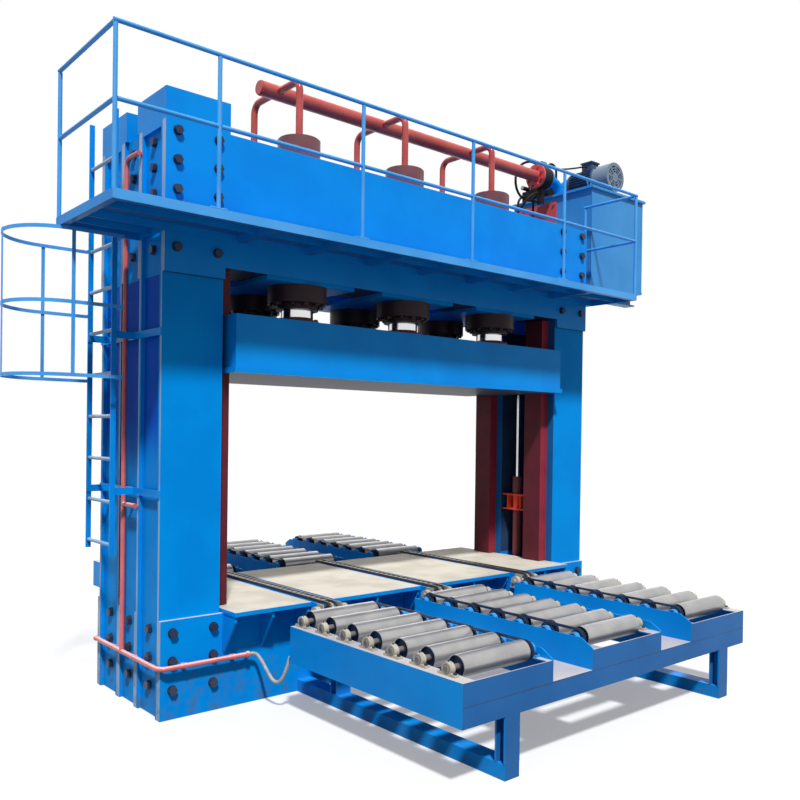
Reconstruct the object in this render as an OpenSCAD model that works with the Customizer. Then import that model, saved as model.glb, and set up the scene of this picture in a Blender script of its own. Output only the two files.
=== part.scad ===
// Frame-type hydraulic cold press with roller tables in front and behind.
// Millimetres, +Z up. X runs across the press, +Y from the infeed side to the outfeed side.
// The origin is on the floor at the middle of the press.

/* [Press frame] */
// Width over the outer edges of the columns
frame_w = 4580; // [4300:10:4900]
// Width of one column across the press
col_w = 455; // [420:5:500]
// Depth of one column, flange face to flange face
col_d = 365; // [350:5:400]
// Clear bay between the front and the rear frame
bay_d = 310; // [300:5:340]
// Thickness of the column flanges
flange_t = 40; // [30:1:50]
// Thickness of the column webs
web_t = 30; // [20:1:40]
// How far the outer webs sit inside the flange edges
web_set = 25; // [20:1:32]
// Thickness of the beams' cheek plates
cheek_t = 30; // [24:1:36]
// Thickness of the plates that close the beams
beam_plate_t = 40; // [30:1:50]
// Height of the lower beams
lower_h = 670; // [640:5:700]
// Height of the upper beams' underside above the floor
beam_z = 3095; // [3050:5:3200]
// Height of the upper beams
beam_h = 937; // [900:1:980]
// How far the cheeks reach down over the columns
tab_drop = 80; // [60:5:110]
// Height of the cover boxes on the left beam ends
cover_h = 215; // [160:5:260]
// Length of the cover boxes
cover_l = 485; // [440:5:540]
// Across-flats size of the frame bolts
bolt_af = 55; // [46:1:60]

/* [Cylinders] */
// Distance between neighbouring cylinders across the press
cyl_pitch = 1090; // [1040:5:1140]
// Outer diameter of the barrels
barrel_d = 335; // [320:1:344]
// Bore of the barrels
bore_d = 270; // [264:1:280]
// How far the barrel heads stand above the beam
head_h = 180; // [150:5:230]
// Outer diameter of the gland drums
gland_d = 460; // [430:5:480]
// Height of the gland drums
gland_h = 130; // [110:5:150]
// Diameter of the piston rods
rod_d = 250; // [230:1:256]
// Running clearance round a rod or piston
run_gap = 0.4; // [0.3:0.1:0.6]
// Thickness of the crown bearing plates
crown_t = 30; // [20:1:40]

/* [Platen] */
// Gap between the ends of the platen and the columns
platen_gap = 45; // [30:1:60]
// Depth of the moving platen
platen_d = 1264; // [1220:4:1320]
// Height of the moving platen
platen_h = 413; // [380:1:440]
// Height of the platen's underside when raised
platen_z = 2362; // [2330:2:2370]
// Thickness of the platen's bottom plate
platen_bottom_t = 40; // [30:1:50]
// How far the bottom plate stands out round the platen
platen_lip = 15; // [8:1:16]
// Wall thickness of the platen box
platen_wall = 30; // [20:1:36]
// Working stroke of the platen
stroke = 800; // [700:10:800]

/* [Guides and lifting cylinders] */
// Width of a guide rail
rail_w = 210; // [180:5:230]
// How far the guide rails stand out of the columns
rail_proud = 100; // [90:1:110]
// Clearance between the platen and a guide rail
guide_gap = 4; // [2:0.5:6]
// Thickness of the guide rail channel
rail_t = 20; // [14:1:26]
// Distance of the lifting cylinders from the columns' inner faces
lift_in = 75; // [70:1:100]
// Diameter of the lifting rods
lift_rod_d = 40; // [34:1:46]
// Outer diameter of the lifting cylinders
lift_d = 90; // [80:1:100]
// Height of the lifting cylinders' glands above the floor
lift_top = 1515; // [1490:5:1530]

/* [Press table] */
// Thickness of the table plates
table_t = 30; // [20:1:40]
// Depth of the table
table_d = 1450; // [1420:5:1480]
// Width of the gaps for the drag chains
strip_w = 200; // [180:5:220]
// Width of a drag chain
drag_w = 84; // [70:2:96]
// Pitch radius of the drag chain's sprockets
drag_r = 62; // [58:1:66]

/* [Roller tables] */
// Distance between rollers
roller_pitch = 237; // [230:1:240]
// Diameter of the rollers
roller_d = 133; // [120:1:140]
// Height of the roller axes
roller_z = 653; // [645:1:660]
// Wall thickness of the roller tubes
roller_wall = 6; // [4:0.5:8]
// Diameter of the roller shafts
shaft_d = 35; // [30:1:40]
// Radial running clearance of the shafts in their bearings
shaft_gap = 0.05; // [0.02:0.01:0.09]
// Distance of the first roller from the middle of the press
roller_y0 = 1053; // [1045:1:1070]
// Distance of the tables' near end from the middle of the press
lane_y0 = 973; // [960:1:980]
// Distance of the tables' far end from the middle of the press
lane_y1 = 2640; // [2620:5:2680]
// Half of the roller tables' width
lane_out = 1536; // [1520:2:1560]
// Distance of the outer lanes' inner sides from the middle
lane_mid = 774; // [760:2:790]
// Half of the middle lane's width
lane_in = 389; // [380:1:400]
// Height of the bearing ledges
ledge_z = 615; // [608:1:622]
// Height of the underside of the tables' beams
lane_z = 364; // [340:2:380]
// Height of the trays between the lanes
tray_z = 480; // [470:2:490]
// Height of the guard plates
guard_z = 674; // [660:1:690]
// Thickness of the roller tables' plates
lane_t = 8; // [6:1:10]
// Width of the legs
leg_w = 124; // [100:2:140]
// Chain teeth on a roller sprocket
sprocket_teeth = 17; // [15:1:19]
// Chain pitch of the roller drive
chain_pitch = 19.05; // [18:0.05:20]

/* [Platform] */
// Height of the platform deck above the upper beams' underside
deck_up = 247; // [235:1:290]
// Distance of the platform's front edge from the middle of the press
deck_y = 1082; // [1050:2:1120]
// How far the platform reaches past the left column
deck_left = 568; // [540:2:600]
// How far the platform reaches past the right column
deck_right = 98; // [80:2:120]
// Where the left end of the platform stops, in front of the middle
deck_back = 134; // [130:1:150]
// Height of the fascia channel
fascia_h = 60; // [50:1:75]
// Height of the top rail above the deck
rail_h = 964; // [920:2:1060]
// Height of the middle rail above the deck
mid_h = 517; // [480:2:560]
// Diameter of the rail tubes
tube_d = 28; // [24:1:34]

/* [Ladder] */
// Distance of the ladder from the column
ladder_out = 160; // [140:2:180]
// Distance between the ladder's stiles
ladder_w = 440; // [420:5:460]
// Distance between rungs
rung_pitch = 300; // [280:5:300]
// Height of the lowest rung
rung_z = 1145; // [1100:5:1180]
// Diameter of the rungs
rung_d = 26; // [22:1:30]
// Radius of the safety cage
cage_r = 350; // [330:5:370]

/* [Power unit] */
// Width of the oil tank
tank_w = 918; // [880:2:960]
// Depth of the oil tank
tank_d = 1060; // [1000:5:1080]
// Height of the oil tank
tank_h = 1010; // [960:5:1040]
// Height of the tank's underside above the upper beams' underside
tank_up = 425; // [405:1:435]
// Gap between the frame and the tank
tank_gap = 172; // [160:2:190]
// Overhang of the tank lid
lid_over = 25; // [15:1:35]
// Thickness of the tank lid
lid_t = 25; // [16:1:30]
// Diameter of the motor's fan cowl
motor_d = 312; // [290:2:330]
// Shaft height of the motor above its base
motor_h = 165; // [160:1:180]
// Diameter of the oil header pipe
header_d = 121; // [108:1:133]
// Height of the oil header pipe above the upper beams
header_up = 653; // [630:1:690]
// Diameter of the branch pipes
branch_d = 57; // [48:1:64]

/* [Hidden] */
$fn = 48;
// Seating gap between pieces that are bolted or laid together
seat = 0.3;
hw = frame_w / 2;
ci = hw - col_w;
yi = bay_d / 2;
yo = yi + col_d;
yc = (yi + yo) / 2;
face_y = yo + cheek_t;
beam_top = beam_z + beam_h;
col_top = beam_top - beam_plate_t;
tab_z = beam_z - tab_drop;
deck_z = beam_z + deck_up;
tank_z = beam_z + tank_up;
header_z = beam_top + header_up;
cyl_x = [-cyl_pitch, 0, cyl_pitch];
platen_w = 2 * (ci - platen_gap);
lift_x = ci + lift_in;
rib_x = [-1.5 * cyl_pitch, -0.5 * cyl_pitch, 0.5 * cyl_pitch, 1.5 * cyl_pitch];
rib_t = 25;
anchor_x = 1400;
anchor_d = 36;
gland_top = beam_z - crown_t;
gland_z = gland_top - gland_h;
ring_h = 45;
head_top = beam_top + head_h;
head_t = 60;
platen_top = platen_z + platen_h;
rod_flange_d = rod_d + 90;
rod_flange_t = 34;
bolt_h = 24;
bolt_wash = 5;
bolt_cols = [hw - 87, ci + 63];
bolt_rows_up = [beam_top - 66, beam_top - 262, beam_top - 459, tab_z + 171];
bolt_rows_low = [lower_h - 86, lower_h - 278, lower_h - 472];
bolt_rows_end = concat([beam_top - 112, beam_top - 286, beam_top - 459, tab_z + 171], bolt_rows_low);
rail_x = ci - rail_proud;
table_z = lower_h + table_t;
rail_z0 = table_z + 6;
notch_x = rail_x - guide_gap;
table_y = table_d / 2;
table_end = ci - 10;
window_z = lower_h - 150;
strip_half = strip_w / 2;
sprocket_y = table_y + 95;
sprocket_zd = table_z + 12 - drag_r - 10;
roller_n = 7;
chain_r = chain_pitch / 2 / sin(180 / sprocket_teeth);
sprocket_t = 10;
sprocket_a = 82;
sprocket_b = 60;
tube_chain_in = 94;
tube_plain_in = 111;
block_chain_in = lane_t + 20;
block_plain_in = lane_t + 42;
block_w = 36;
leg_xs = [-1130, 1240];
skid_h = 90;
cross_x = lane_out - 100 - seat;
deck_x0 = -hw - deck_left;
deck_x1 = hw + deck_right;
post_xs = [deck_x0 + tube_d / 2, -2174, -1028, 95, 1262, deck_x1 - tube_d / 2];
post_y = -deck_y + tube_d / 2;
top_rail_z = deck_z + rail_h;
mid_rail_z = deck_z + mid_h;
ladder_x = -hw - ladder_out;
ladder_y0 = -deck_back + 29;
ladder_y1 = ladder_y0 + ladder_w;
ladder_yc = (ladder_y0 + ladder_y1) / 2;
stile_w = 36;
stile_t = 12;
ladder_top = deck_z + 834;
ladder_bottom = rung_z - 60;
bracket_zs = [1520, 2615];
cage_x = ladder_x - 324;
hoop_h = 50;
hoop_t = 7;
hoop_pitch = 480;
cage_top = deck_z - fascia_h - seat - hoop_h;
cage_zs = [cage_top - 2 * hoop_pitch, cage_top - hoop_pitch, cage_top];
tank_x0 = hw + tank_gap;
tank_x1 = tank_x0 + tank_w;
tank_y0 = -480;
tank_y1 = tank_y0 + tank_d;
tank_top = tank_z + tank_h;
lid_top = tank_top + lid_t;
arm_h = 120;
motor_x = tank_x0 + 504;
motor_z = lid_top + 40 + motor_h;
cowl_y0 = tank_y0 + 70;
cowl_y1 = cowl_y0 + 200;
body_y1 = cowl_y1 + 340;
flange_x = hw - 170;
elbow_r = header_z - lid_top;
pipe_z = 362;
pipe_d = 34;
pipe_top = beam_top - 152;
pipe_side = 28;
pipe_front = bolt_wash + bolt_h + pipe_d / 2 + 3;
lift_z0 = lift_top - stroke - 405;
lug_z = platen_z + 58;
lug_t = 50;
// The flexible conduit's route, from the pipe's end to the gland on the infeed table
hose_d = 26;
hose_pts = [[-1640 + seat, -599, 362], [-1610, -600, 362], [-1584, -612, 354], [-1568, -650, 320],
    [-1556, -710, 255], [-1547, -770, 202], [-1538, -825, 194], [-1530, -872, 232],
    [-1521, -904, 300], [-1513, -922, 356], [-1510, -934, 386], [-1510, -950 + seat, 390]];

blue = [0.04, 0.33, 0.85];
deep_blue = [0.03, 0.22, 0.62];
pipe_red = [0.80, 0.27, 0.24];
maroon = [0.36, 0.17, 0.17];
rail_red = [0.50, 0.12, 0.14];
steel = [0.72, 0.72, 0.72];
dark = [0.12, 0.12, 0.14];

// Box between two corners
module bx(x0, x1, y0, y1, z0, z1) {
    translate([x0, y0, z0]) cube([x1 - x0, y1 - y0, z1 - z0]);
}

// Upright, crosswise and lengthwise cylinders between two ends
module cz(x, y, z0, z1, d) {
    translate([x, y, z0]) cylinder(d = d, h = z1 - z0);
}
module cx(x0, x1, y, z, d) {
    translate([x0, y, z]) rotate([0, 90, 0]) cylinder(d = d, h = x1 - x0);
}
module cy(x, y0, y1, z, d) {
    translate([x, y1, z]) rotate([90, 0, 0]) cylinder(d = d, h = y1 - y0);
}

// A flat outline drawn in X and Z, and one drawn in Y and Z, made t thick
module plate_xz(y0, t) {
    translate([0, y0 + t, 0]) rotate([90, 0, 0]) linear_extrude(t) children();
}
module plate_yz(x0, t) {
    translate([x0, 0, 0]) rotate([90, 0, 90]) linear_extrude(t) children();
}

// Both hands of a piece drawn on the +X or the +Y side
module both_x() {
    children();
    mirror([1, 0, 0]) children();
}
module both_y() {
    children();
    mirror([0, 1, 0]) children();
}

// Box-section column: two flanges proud of the outer web, and an inner web flush with them
module column(sx, sy) {
    mirror([sx < 0 ? 1 : 0, 0, 0]) mirror([0, sy < 0 ? 1 : 0, 0])
    linear_extrude(col_top) difference() {
        translate([ci, yi]) square([col_w, col_d]);
        translate([ci + web_t, yi + flange_t])
            square([col_w - 2 * web_t - web_set, col_d - 2 * flange_t]);
        translate([hw - web_set, yi + flange_t]) square([web_set + 1, col_d - 2 * flange_t]);
    }
}
module column_front_left() { color(blue) column(-1, -1); }
module column_front_right() { color(blue) column(1, -1); }
module column_rear_left() { color(blue) column(-1, 1); }
module column_rear_right() { color(blue) column(1, 1); }

// Lower beam: cheeks over both columns, top and bottom plates, ribs, and windows for the chains
module lower_beam() {
    difference() {
        union() {
            for (y = [yi - cheek_t, yo]) bx(-hw, hw, y, y + cheek_t, 0, lower_h);
            for (z = [0, lower_h - beam_plate_t]) bx(-ci, ci, yi, yo, z, z + beam_plate_t);
            for (x = rib_x) bx(x - rib_t / 2, x + rib_t / 2, yi, yo, 0, lower_h);
        }
        for (x = cyl_x)
            bx(x - strip_half, x + strip_half, yi - cheek_t - 1, yo + cheek_t + 1, window_z, lower_h + 1);
        for (s = [-1, 1]) cz(s * anchor_x, yc, -1, beam_plate_t + 1, anchor_d);
    }
}
module lower_beam_front() { color(blue) mirror([0, 1, 0]) lower_beam(); }
module lower_beam_rear() { color(blue) lower_beam(); }

// Cheek outline of the upper beam, with tabs that reach down over the columns
module upper_cheek() {
    polygon([[-hw, tab_z], [-ci, tab_z], [-ci, beam_z], [ci, beam_z], [ci, tab_z], [hw, tab_z],
        [hw, beam_top], [-hw, beam_top]]);
}

// Folded cover box on the left end of an upper beam
module beam_cover() {
    difference() {
        bx(-hw, -hw + cover_l, yi - cheek_t - 30, face_y, beam_top, beam_top + cover_h);
        bx(-hw + 6, -hw + cover_l - 6, yi - cheek_t - 24, face_y - 6,
            beam_top - 1, beam_top + cover_h - 6);
    }
}

// Upper beam: cheeks, bored plates for the barrels, ribs, end caps and the cover box
module upper_beam() {
    difference() {
        union() {
            for (y = [yi - cheek_t, yo]) plate_xz(y, cheek_t) upper_cheek();
            bx(-ci, ci, yi, yo, beam_z, beam_z + beam_plate_t);
            bx(-hw, hw, yi, yo, col_top, beam_top);
            for (x = rib_x) bx(x - rib_t / 2, x + rib_t / 2, yi, yo, beam_z, beam_top);
        }
        for (x = cyl_x) cz(x, yc, beam_z - 1, beam_top + 1, barrel_d + 4);
    }
    beam_cover();
}
module upper_beam_front() { color(blue) mirror([0, 1, 0]) upper_beam(); }
module upper_beam_rear() { color(blue) upper_beam(); }

// End plates of the bay between the frames, and the crown plates under the barrels
module end_tie() {
    w = yi - cheek_t - seat;
    v = yi - seat;
    plate_yz(hw - web_set - web_t, web_t)
        polygon([[-w, 0], [w, 0], [w, lower_h + seat], [v, lower_h + seat], [v, tab_z - seat],
            [w, tab_z - seat], [w, beam_top], [-w, beam_top], [-w, tab_z - seat], [-v, tab_z - seat],
            [-v, lower_h + seat], [-w, lower_h + seat]]);
}
module frame_ties() {
    color(blue) {
        both_x() end_tie();
        for (x = cyl_x) difference() {
            bx(x - 400, x + 400, 5 - face_y, face_y - 5, beam_z - crown_t, beam_z);
            both_y() cz(x, yc, beam_z - crown_t - 1, beam_z + 1, barrel_d + 4);
        }
    }
}

// Hexagon bolt with its washer, standing up from z = 0
module hex_bolt() {
    cylinder(d = bolt_af * 1.25, h = bolt_wash);
    translate([0, 0, bolt_wash]) cylinder(d = bolt_af / cos(30), h = bolt_h, $fn = 6);
}
module frame_bolts() {
    color(dark) {
        both_x() both_y() {
            for (x = bolt_cols, z = concat(bolt_rows_up, bolt_rows_low))
                translate([x, face_y, z]) rotate([-90, 0, 0]) hex_bolt();
            for (z = bolt_rows_end) translate([hw - web_set, yc, z]) rotate([0, 90, 0]) hex_bolt();
        }
        both_x() for (z = bolt_rows_end)
            translate([hw - web_set, 0, z]) rotate([0, 90, 0]) hex_bolt();
    }
}

// Table sections between the chain gaps, each with gussets under its overhangs
module gusset(x) {
    plate_yz(x - 8, 16)
        polygon([[face_y, lower_h - 290], [face_y, lower_h],
            [table_y - 14, lower_h], [table_y - 14, lower_h - 45]]);
}
module table_section(x0, x1) {
    bx(x0, x1, -table_y, table_y, lower_h, table_z);
    for (x = [x0 + 14, (x0 + x1) / 2, x1 - 14]) both_y() gusset(x);
}
module bed_tables() {
    color([0.83, 0.80, 0.72]) both_x() {
        table_section(strip_half, cyl_pitch - strip_half);
        table_section(cyl_pitch + strip_half, table_end);
    }
}

// Track for one drag chain: floor, two sides, a slide bar, and the end shafts with their bearings
module drag_track() {
    w = strip_half - 14;
    z0 = window_z;
    bx(-w, w, -table_y - 130, table_y + 130, z0, z0 + 8);
    both_x() bx(w - 8, w, -table_y - 130, table_y + 130, z0, table_z - 4);
    both_x() bx(drag_w / 2 - 17, drag_w / 2 - 1, -table_y, table_y,
        sprocket_zd + drag_r - 22, sprocket_zd + drag_r - 10 - seat);
    for (y = [-1, 0, 1]) bx(-w, w, y * table_y * 0.8 - 10, y * table_y * 0.8 + 10,
        sprocket_zd + drag_r - 34, sprocket_zd + drag_r - 22);
    both_y() {
        cx(-w - 70, w + 70, sprocket_y, sprocket_zd, 36);
        both_x() {
            translate([w + 36, sprocket_y, sprocket_zd]) rotate([90, 0, 90]) drag_block();
            bx(w - 1, w + 62, sprocket_y - 64, sprocket_y + 30, sprocket_zd - 60, sprocket_zd - 51);
        }
        cx(-13, 13, sprocket_y, sprocket_zd, 2 * drag_r - 20);
        for (a = [0 : 30 : 330]) translate([0, sprocket_y, sprocket_zd]) rotate([a, 0, 0])
            translate([-10, -7, drag_r - 14]) cube([20, 14, 12]);
    }
}
// Bearing housing of a drag chain shaft, its axis along Z
module drag_block() {
    cylinder(d = 84, h = 40, center = true);
    translate([-60, -52, -20]) cube([120, 20, 40]);
    translate([-34, -44, -20]) cube([68, 44, 40]);
}
module chain_tracks() {
    color(deep_blue) for (x = cyl_x) translate([x, 0, 0]) drag_track();
}

// Rounded racetrack outline between two sprocket axes
module racetrack(r, l) {
    translate([-l / 2, 0]) circle(r);
    translate([l / 2, 0]) circle(r);
    translate([-l / 2, -r]) square([l, 2 * r]);
}
// Drag chain: two strands of side plates with cross bars between them
module drag_chain() {
    l = 2 * sprocket_y;
    n = floor((l - 60) / 64);
    for (s = [-1, 1]) translate([s * (drag_w / 2 - 9) - 8, 0, sprocket_zd]) plate_yz(0, 16) difference() {
        racetrack(drag_r + 10, l);
        racetrack(drag_r - 10, l);
    }
    for (i = [0 : n - 1], s = [-1, 1])
        bx(-drag_w / 2, drag_w / 2, (i - (n - 1) / 2) * 64 - 20, (i - (n - 1) / 2) * 64 + 20,
            sprocket_zd + s * drag_r - 6, sprocket_zd + s * drag_r + 6);
}
module transfer_chains() {
    color(dark) for (x = cyl_x) translate([x, 0, 0]) drag_chain();
}

// Channel-shaped guide rails on the inner webs of the columns
module guide_rails() {
    color(rail_red) both_x() both_y()
        translate([0, 0, rail_z0]) linear_extrude(beam_z - 10 - rail_z0) difference() {
            translate([rail_x, yc - rail_w / 2]) square([rail_proud, rail_w]);
            translate([rail_x + rail_t, yc - rail_w / 2 + rail_t]) square([rail_proud, rail_w - 2 * rail_t]);
        }
}

// Barrels with their closed heads
module cylinder_barrels() {
    color(maroon) both_y() for (x = cyl_x) translate([x, yc, 0]) difference() {
        union() {
            cz(0, 0, gland_top, head_top - 8, barrel_d);
            cz(0, 0, head_top - 8, head_top, barrel_d - 16);
        }
        cz(0, 0, gland_top - 1, head_top - head_t, bore_d);
    }
}

// Gland drums bolted up under the crown plates, with the packing ring below
module cylinder_glands() {
    color(maroon) both_y() for (x = cyl_x) translate([x, yc, 0]) {
        difference() {
            union() {
                cz(0, 0, gland_z, gland_top - seat, gland_d);
                cz(0, 0, gland_z - ring_h, gland_z, rod_d + 80);
            }
            cz(0, 0, gland_z - ring_h - 1, gland_top + 1, rod_d + 2 * run_gap);
        }
        for (a = [15 : 30 : 345]) rotate(a) translate([gland_d / 2 - 36, 0, gland_z - 20])
            cylinder(d = 42, h = 20, $fn = 6);
    }
}

// Piston rods with the piston above and the bolted foot flange below
module piston_rods() {
    color(steel) both_y() for (x = cyl_x) translate([x, yc, 0]) {
        cz(0, 0, platen_top, head_top - head_t - 60, rod_d);
        cz(0, 0, head_top - head_t - 170, head_top - head_t - 60, bore_d - 2 * run_gap);
        cz(0, 0, platen_top, platen_top + rod_flange_t, rod_flange_d);
        for (a = [0 : 45 : 315]) rotate(a) translate([rod_d / 2 + 24, 0, platen_top + rod_flange_t])
            cylinder(d = 32, h = 14, $fn = 6);
    }
}

// Outline of the platen with notches that run on the guide rails
module platen_outline(grow) {
    difference() {
        square([platen_w + 2 * grow, platen_d + 2 * grow], center = true);
        both_x() both_y() translate([notch_x, yc - rail_w / 2 - guide_gap])
            square([platen_w, rail_w + 2 * guide_gap]);
    }
}
// Platen: ribbed box on a thicker bottom plate, with lugs for the lifting rods
module platen() {
    cells = 6;
    cell_x = -notch_x + platen_wall;
    cw = -2 * cell_x / cells;
    color(blue) {
        difference() {
            union() {
                translate([0, 0, platen_z]) linear_extrude(platen_bottom_t) platen_outline(platen_lip);
                translate([0, 0, platen_z + platen_bottom_t]) linear_extrude(platen_h - platen_bottom_t)
                    platen_outline(0);
            }
            for (i = [0 : cells - 1], s = [0, 1]) mirror([0, s, 0])
                bx(cell_x + i * cw + platen_wall / 2, cell_x + (i + 1) * cw - platen_wall / 2,
                    platen_wall / 2, platen_d / 2 - platen_wall,
                    platen_z + platen_bottom_t, platen_top - platen_wall);
        }
        both_x() {
            bx(platen_w / 2 - 1, lift_x + 60, -60, 60, lug_z, lug_z + lug_t);
            for (s = [-1, 1]) plate_xz(s * 50 - 10, 20)
                polygon([[platen_w / 2 - 1, lug_z + lug_t - 1], [lift_x + 40, lug_z + lug_t - 1],
                    [platen_w / 2 - 1, lug_z + 200]]);
        }
    }
}

// Lifting cylinders in box brackets between the front and rear columns
module lift_cylinder() {
    translate([lift_x, 0, 0]) {
        difference() {
            union() {
                cz(0, 0, lift_z0, lift_top - 160, lift_d);
                cz(0, 0, lift_top - 160, lift_top, lift_d + 12);
            }
            cz(0, 0, lift_z0 + 30, lift_top - 50, lift_rod_d + 22);
            cz(0, 0, lift_top - 51, lift_top + 1, lift_rod_d + 2 * run_gap);
        }
        for (z = [lift_top - 345, lift_top - 195]) difference() {
            bx(-55, 60, -yi + seat, yi - seat, z, z + 15);
            cz(0, 0, z - 1, z + 16, lift_d - 2);
        }
        for (s = [-1, 1]) bx(-55, 60, s * 85 - 7, s * 85 + 7, lift_top - 331, lift_top - 194);
    }
}
module lift_cylinders() { color(rail_red) both_x() lift_cylinder(); }
module lift_rods() {
    color(steel) both_x() {
        cz(lift_x, 0, lift_top - 335, lug_z, lift_rod_d);
        cz(lift_x, 0, lift_top - 335, lift_top - 275, lift_rod_d + 22 - 2 * run_gap);
        cz(lift_x, 0, lug_z - 22, lug_z, lift_rod_d + 44);
    }
}

// Oil header over the barrels, with a branch down to each head and a flange at the right end
module branch_pipe() {
    r = 85;
    cy(0, 0, yc - r, header_z, branch_d);
    translate([0, yc - r, header_z - r]) rotate([90, 0, 90]) rotate_extrude(angle = 90)
        translate([r, 0]) circle(d = branch_d);
    cz(0, yc, head_top + 40, header_z - r, branch_d);
    translate([0, yc, head_top + seat]) cylinder(d = branch_d * 1.7, h = 40, $fn = 6);
}
module oil_header() {
    color(pipe_red) {
        cx(-cyl_pitch - 150, flange_x + 5, 0, header_z, header_d);
        cx(-cyl_pitch - 164, -cyl_pitch - 145, 0, header_z, header_d - 14);
        cx(flange_x, flange_x + 26, 0, header_z, header_d + 130);
        for (a = [22.5 : 45 : 360]) translate([flange_x - 16, 0, header_z]) rotate([a, 0, 0])
            translate([0, 0, header_d / 2 + 38]) rotate([0, 90, 0]) cylinder(d = 30, h = 18, $fn = 6);
        both_y() for (x = cyl_x) translate([x, 0, 0]) branch_pipe();
    }
}

// Oil tank on two arms, with the clean-out cover and the drain
module oil_tank() {
    color(blue) {
        difference() {
            bx(tank_x0, tank_x1, tank_y0, tank_y1, tank_z, tank_top);
            bx(tank_x0 + 8, tank_x1 - 8, tank_y0 + 8, tank_y1 - 8, tank_z + 8, tank_top + 1);
        }
        both_y() difference() {
            bx(hw - web_set, tank_x1, yc - 60, yc + 60, tank_z - arm_h, tank_z);
            both_y() bx(hw, tank_x1 + 1, yc + 6, yc + 61, tank_z - arm_h + 14, tank_z - 14);
        }
    }
    color(rail_red) {
        bx(tank_x0 - 12, tank_x0, -20, 560, tank_z + 230, tank_top - 50);
        for (y = [10 : 104 : 530], z = [tank_z + 260, tank_top - 80])
            translate([tank_x0 - 26, y, z]) rotate([0, 90, 0]) cylinder(d = 26, h = 14, $fn = 6);
    }
    color(dark) cx(tank_x1, tank_x1 + 70, tank_y0 + 50, tank_z + 30, pipe_d);
}
module tank_lid() {
    color(blue) {
        bx(tank_x0 - lid_over, tank_x1 + lid_over, tank_y0 - lid_over, tank_y1 + lid_over, tank_top, lid_top);
        for (x = [motor_x - 110, motor_x + 70])
            bx(x, x + 40, cowl_y1 + 20, body_y1 - 20, lid_top, lid_top + 40);
        cz(tank_x1 - 130, tank_y1 - 160, lid_top, lid_top + 70, 120);
        translate([tank_x0 + 40, tank_y0 + 70, lid_top + 46]) rotate([90, 0, 0])
            rotate_extrude() translate([30, 0]) circle(d = 16);
        cz(tank_x0 + 40, tank_y0 + 70, lid_top, lid_top + 18, 44);
    }
}

// Flange motor lying along Y: finned body, end shields, terminal box and fan cowl
module pump_motor() {
    fins = 32;
    bd = motor_d - 16;
    color([0.45, 0.49, 0.54]) difference() {
        union() {
            translate([motor_x, body_y1 - 24, motor_z]) rotate([90, 0, 0]) linear_extrude(292) {
                circle(d = bd - 40);
                for (i = [0 : fins - 1]) rotate(i * 360 / fins + 90) translate([0, -2.5]) square([bd / 2, 5]);
            }
            cy(motor_x, cowl_y1, cowl_y1 + 26, motor_z, motor_d);
            cy(motor_x, body_y1 - 26, body_y1, motor_z, bd);
            for (s = [-1, 1]) bx(motor_x + s * 90 - 26, motor_x + s * 90 + 26, cowl_y1 + 60, body_y1 - 60,
                lid_top + 40 + seat, motor_z - 60);
            bx(motor_x - 62, motor_x + 62, cowl_y1 + 70, cowl_y1 + 200, motor_z + 100, motor_z + bd / 2 + 62);
            bx(motor_x - 74, motor_x + 74, cowl_y1 + 58, cowl_y1 + 212,
                motor_z + bd / 2 + 62, motor_z + bd / 2 + 78);
        }
        cy(motor_x, cowl_y1 - 1, body_y1 + 1, motor_z, 48 + 2 * shaft_gap);
    }
    color([0.60, 0.64, 0.68]) translate([motor_x, cowl_y1, motor_z]) rotate([90, 0, 0]) difference() {
        cylinder(d = motor_d, h = cowl_y1 - cowl_y0);
        translate([0, 0, -1]) cylinder(d = motor_d - 8, h = cowl_y1 - cowl_y0 - 3);
        translate([0, 0, cowl_y1 - cowl_y0 - 5]) for (r = [52, 78, 104], a = [0 : 45 : 315]) rotate(a)
            rotate_extrude(angle = 34) translate([r, 0]) square([14, 10]);
    }
}
// Rotor shaft with the cooling fan inside the cowl
module motor_fan() {
    color(dark) translate([motor_x, 0, motor_z]) {
        cy(0, cowl_y0 + 40, body_y1 + 90, 0, 48);
        cy(0, cowl_y0 + 60, cowl_y0 + 130, 0, 90);
        translate([0, cowl_y0 + 130, 0]) rotate([90, 0, 0]) {
            for (a = [0 : 45 : 315]) rotate(a) translate([30, -3, 0]) cube([100, 6, 70]);
            cylinder(d = 250, h = 6);
        }
    }
}
// Bell housing and pump behind the motor, and the prefill valve with its elbow to the tank
module pump_unit() {
    color(blue) {
        translate([motor_x, body_y1 + seat, motor_z]) rotate([-90, 0, 0]) difference() {
            union() {
                cylinder(d = motor_d - 40, h = 22);
                cylinder(d1 = motor_d - 70, d2 = 190, h = 150);
            }
            translate([0, 0, -1]) cylinder(d = 120, h = 120);
        }
        cy(motor_x, body_y1 + 150, body_y1 + 300, motor_z, 170);
        cy(motor_x, body_y1 + 300, body_y1 + 330, motor_z, 120);
        bx(motor_x - 40, motor_x + 40, body_y1 + 190, body_y1 + 270, lid_top + seat, motor_z);
        cx(flange_x + 176, tank_x0 + 58 - elbow_r, 0, header_z, header_d);
        translate([tank_x0 + 58 - elbow_r, 0, lid_top]) rotate([90, 0, 0]) rotate_extrude(angle = 90)
            translate([elbow_r, 0]) circle(d = header_d - 14);
        cx(flange_x + 156 + seat, flange_x + 182, 0, header_z, header_d + 110);
    }
    color(dark) {
        cx(flange_x + 26 + seat, flange_x + 156, 0, header_z, header_d + 120);
        bx(flange_x + 50, flange_x + 132, -46, 46, header_z + 80, header_z + 160);
        bx(flange_x + 70, flange_x + 116, -30, 30, header_z - 285, header_z - 110);
    }
}

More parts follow.
